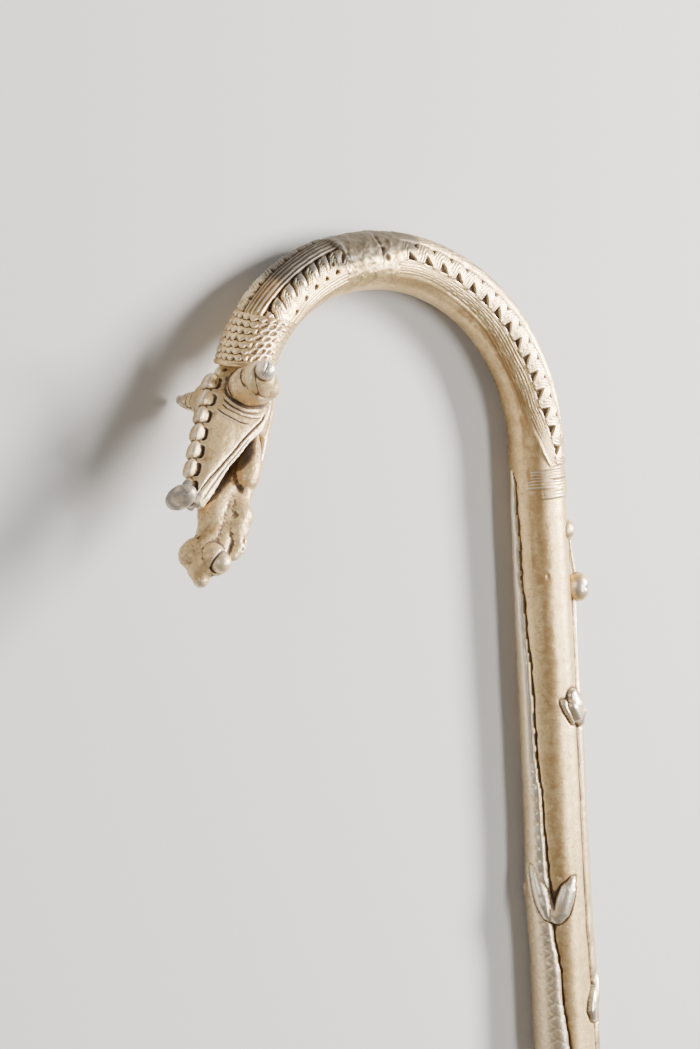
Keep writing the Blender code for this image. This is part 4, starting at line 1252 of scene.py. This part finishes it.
def patina(name, speckle, grain, beige_share, metallic):
    """The staff's skin. Speckle is how much brown dots it, grain how rough it is cast."""
    skin = Shade(name)
    hollow, high, stain, dark, polish = map(skin.mask, ("hollow", "high", "stain", "dark", "polish"))
    broad, middle = skin.noise(22, 3), skin.noise(6, 4)
    small, fine = skin.noise(1.6, 4, 0.65), skin.noise(0.55, 3, 0.7)
    mottled = (broad * 0.4 + middle * 0.4 + small * 0.2).between(0.38, 0.64)
    dots = (small * 0.5 + fine * 0.5).between(0.545, 0.63) * speckle
    stained = (stain * (0.20 + middle * 0.9 + small * 0.5)).between(0.15, 0.75)
    # Dark grey: painted shade on the crook's top and inner edge, and darker patches elsewhere.
    darkened = (dark * (0.30 + middle * 0.8 + small * 0.4)).between(0.18, 0.80)
    # Brown and black in hollows: soil in the fine grooves, painted shade in broad hollows and deep gaps.
    soiled_and_shaded = (hollow * (0.75 + small * 0.7)).between(0.12, 0.62)
    blackened = (hollow * (0.7 + middle * 0.6)).between(0.80, 1.10)
    # Silver on high places is a painted highlight as well as wear; silver on polished knobs is wear.
    highlight_and_wear = (high * (0.4 + small)).between(0.25, 0.75) * 0.34
    worn = polish * (0.70 + small * 0.6).between(0.85, 1)
    rubbed_and_highlit = (highlight_and_wear * (1 - darkened * 0.6) + worn * (1 - darkened * 0.5)) * (1 - soiled_and_shaded * 0.8)
    colour = CREAM
    layers = ((mottled * beige_share, BEIGE), (dots, GOLDEN_SOIL), (stained * 0.85, ORANGE),
              (darkened * 0.92, DARK_PATINA_AND_SHADE), (soiled_and_shaded * 0.92, BROWN_SOIL_AND_SHADE), (blackened * 0.9, BLACK_SOIL_AND_SHADE),
              (rubbed_and_highlit, SILVER))
    for share, tint in layers:
        colour = skin.mix(share, colour, tint)
    pits = skin.noise(1.1, 1).between(0.66, 0.76)
    bumps = middle * 0.35 + small * 0.45 + fine * 0.35 - pits * 0.5
    metal = metallic - soiled_and_shaded * 0.55 - dots * 0.3 - stained * 0.25 - darkened * 0.2 + rubbed_and_highlit * 0.25
    rough = 0.30 + middle * 0.18 + soiled_and_shaded * 0.25 + dots * 0.15 + darkened * 0.12 - rubbed_and_highlit * 0.16
    relief = {"Strength": grain, "Distance": 0.00035, "Height": bumps}
    skin.put(skin.shader.inputs["Base Color"], colour)
    skin.put(skin.shader.inputs["Metallic"], metal)
    skin.put(skin.shader.inputs["Roughness"], rough)
    skin.put(skin.shader.inputs["Normal"], skin.node("ShaderNodeBump", {}, relief, "Normal"))
    return skin.material


crook_patina = patina("crook_patina", 0.50, 0.55, 0.65, 0.80)
shaft_patina = patina("shaft_patina", 0.80, 0.50, 0.40, 0.74)
FINISHES = {
    "serpent_head": patina("head_patina", 0.75, 0.70, 0.70, 0.46),
    "frog": patina("frog_patina", 0.85, 0.70, 0.80, 0.46),
    "crook_shaft_half": crook_patina,
    "crook_neck_half": crook_patina,
}
for piece in pieces:
    piece.data.materials.clear()
    piece.data.materials.append(FINISHES.get(piece.name, shaft_patina))
    if piece in POLISHED:
        piece.data.shade_smooth()
    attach(piece, "root")
    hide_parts("staff")
    print(piece.name, "has", piece.data.materials[0].name)

# %% [markdown]
# ## Floor, light and camera
# The staff lies on a pale floor under three large soft lights, and the camera looks down on it from
# the photograph's side.

# %% Floor
floor_mesh = bmesh.new()
bmesh.ops.create_grid(floor_mesh, x_segments=1, y_segments=1, size=6)
floor = linked("floor", bpy.data.meshes.new("floor"))
floor_mesh.to_mesh(floor.data)
floor_mesh.free()
paper = Shade("pale_paper")
paper.put(paper.shader.inputs["Base Color"], (0.60, 0.59, 0.575, 1))
paper.put(paper.shader.inputs["Roughness"], 0.9)
floor.data.materials.append(paper.material)
print("floor with", paper.material.name)

# %% Camera
CAMERA_DISTANCE, CAMERA_RIGHT, CAMERA_UP = 1.5, -0.01166, -0.02770
view_back = Vector((-0.560, 0.119, 0.820)).normalized()
view_up = view_back.cross(Vector((0.820, -0.062, 0.569))).normalized()
view_right = view_up.cross(view_back).normalized()
camera_data = bpy.data.cameras.new("camera")
camera_data.sensor_width = 36
camera_data.lens = 112.9
camera_data.clip_end = 20
camera = linked("camera", camera_data)
target = Vector(CROOK_CENTRE) + view_right * CAMERA_RIGHT + view_up * CAMERA_UP
directions = Matrix((view_right, view_up, view_back)).transposed().to_4x4()
camera.matrix_world = Matrix.Translation(target + view_back * CAMERA_DISTANCE) @ directions
bpy.context.scene.camera = camera
print("camera at", [round(value, 3) for value in camera.matrix_world.translation])

# %% Lights
def soft_light(name, direction, distance, length, width, power, colour):
    """A soft panel whose length runs along the staff."""
    data = bpy.data.lights.new(name, "AREA")
    data.shape = "RECTANGLE"
    data.size, data.size_y = length, width
    data.energy, data.color = power, colour
    away = Vector(direction).normalized()
    made = linked(name, data)
    made.location = Vector(CROOK_CENTRE) + Vector((0.03, -0.08, 0.02)) + away * distance
    made.rotation_euler = away.to_track_quat("Z", "Y").to_euler()
    print(name, "light of", power, "watts")


soft_light("key", (1.45, 0.35, 1.05), 1.7, 0.9, 0.40, 122, (1, 0.97, 0.93))
soft_light("top", (0.35, -0.1, 1), 1.8, 0.9, 0.30, 26, (1, 0.98, 0.95))
soft_light("fill", (-1.5, 0.5, 0.9), 1.8, 0.9, 0.6, 9, (1, 0.985, 0.96))
world = bpy.data.worlds.new("studio")
bpy.context.scene.world = world
world.use_nodes = True
world.node_tree.nodes["Background"].inputs["Color"].default_value = (0.94, 0.93, 0.92, 1)
world.node_tree.nodes["Background"].inputs["Strength"].default_value = 0.15
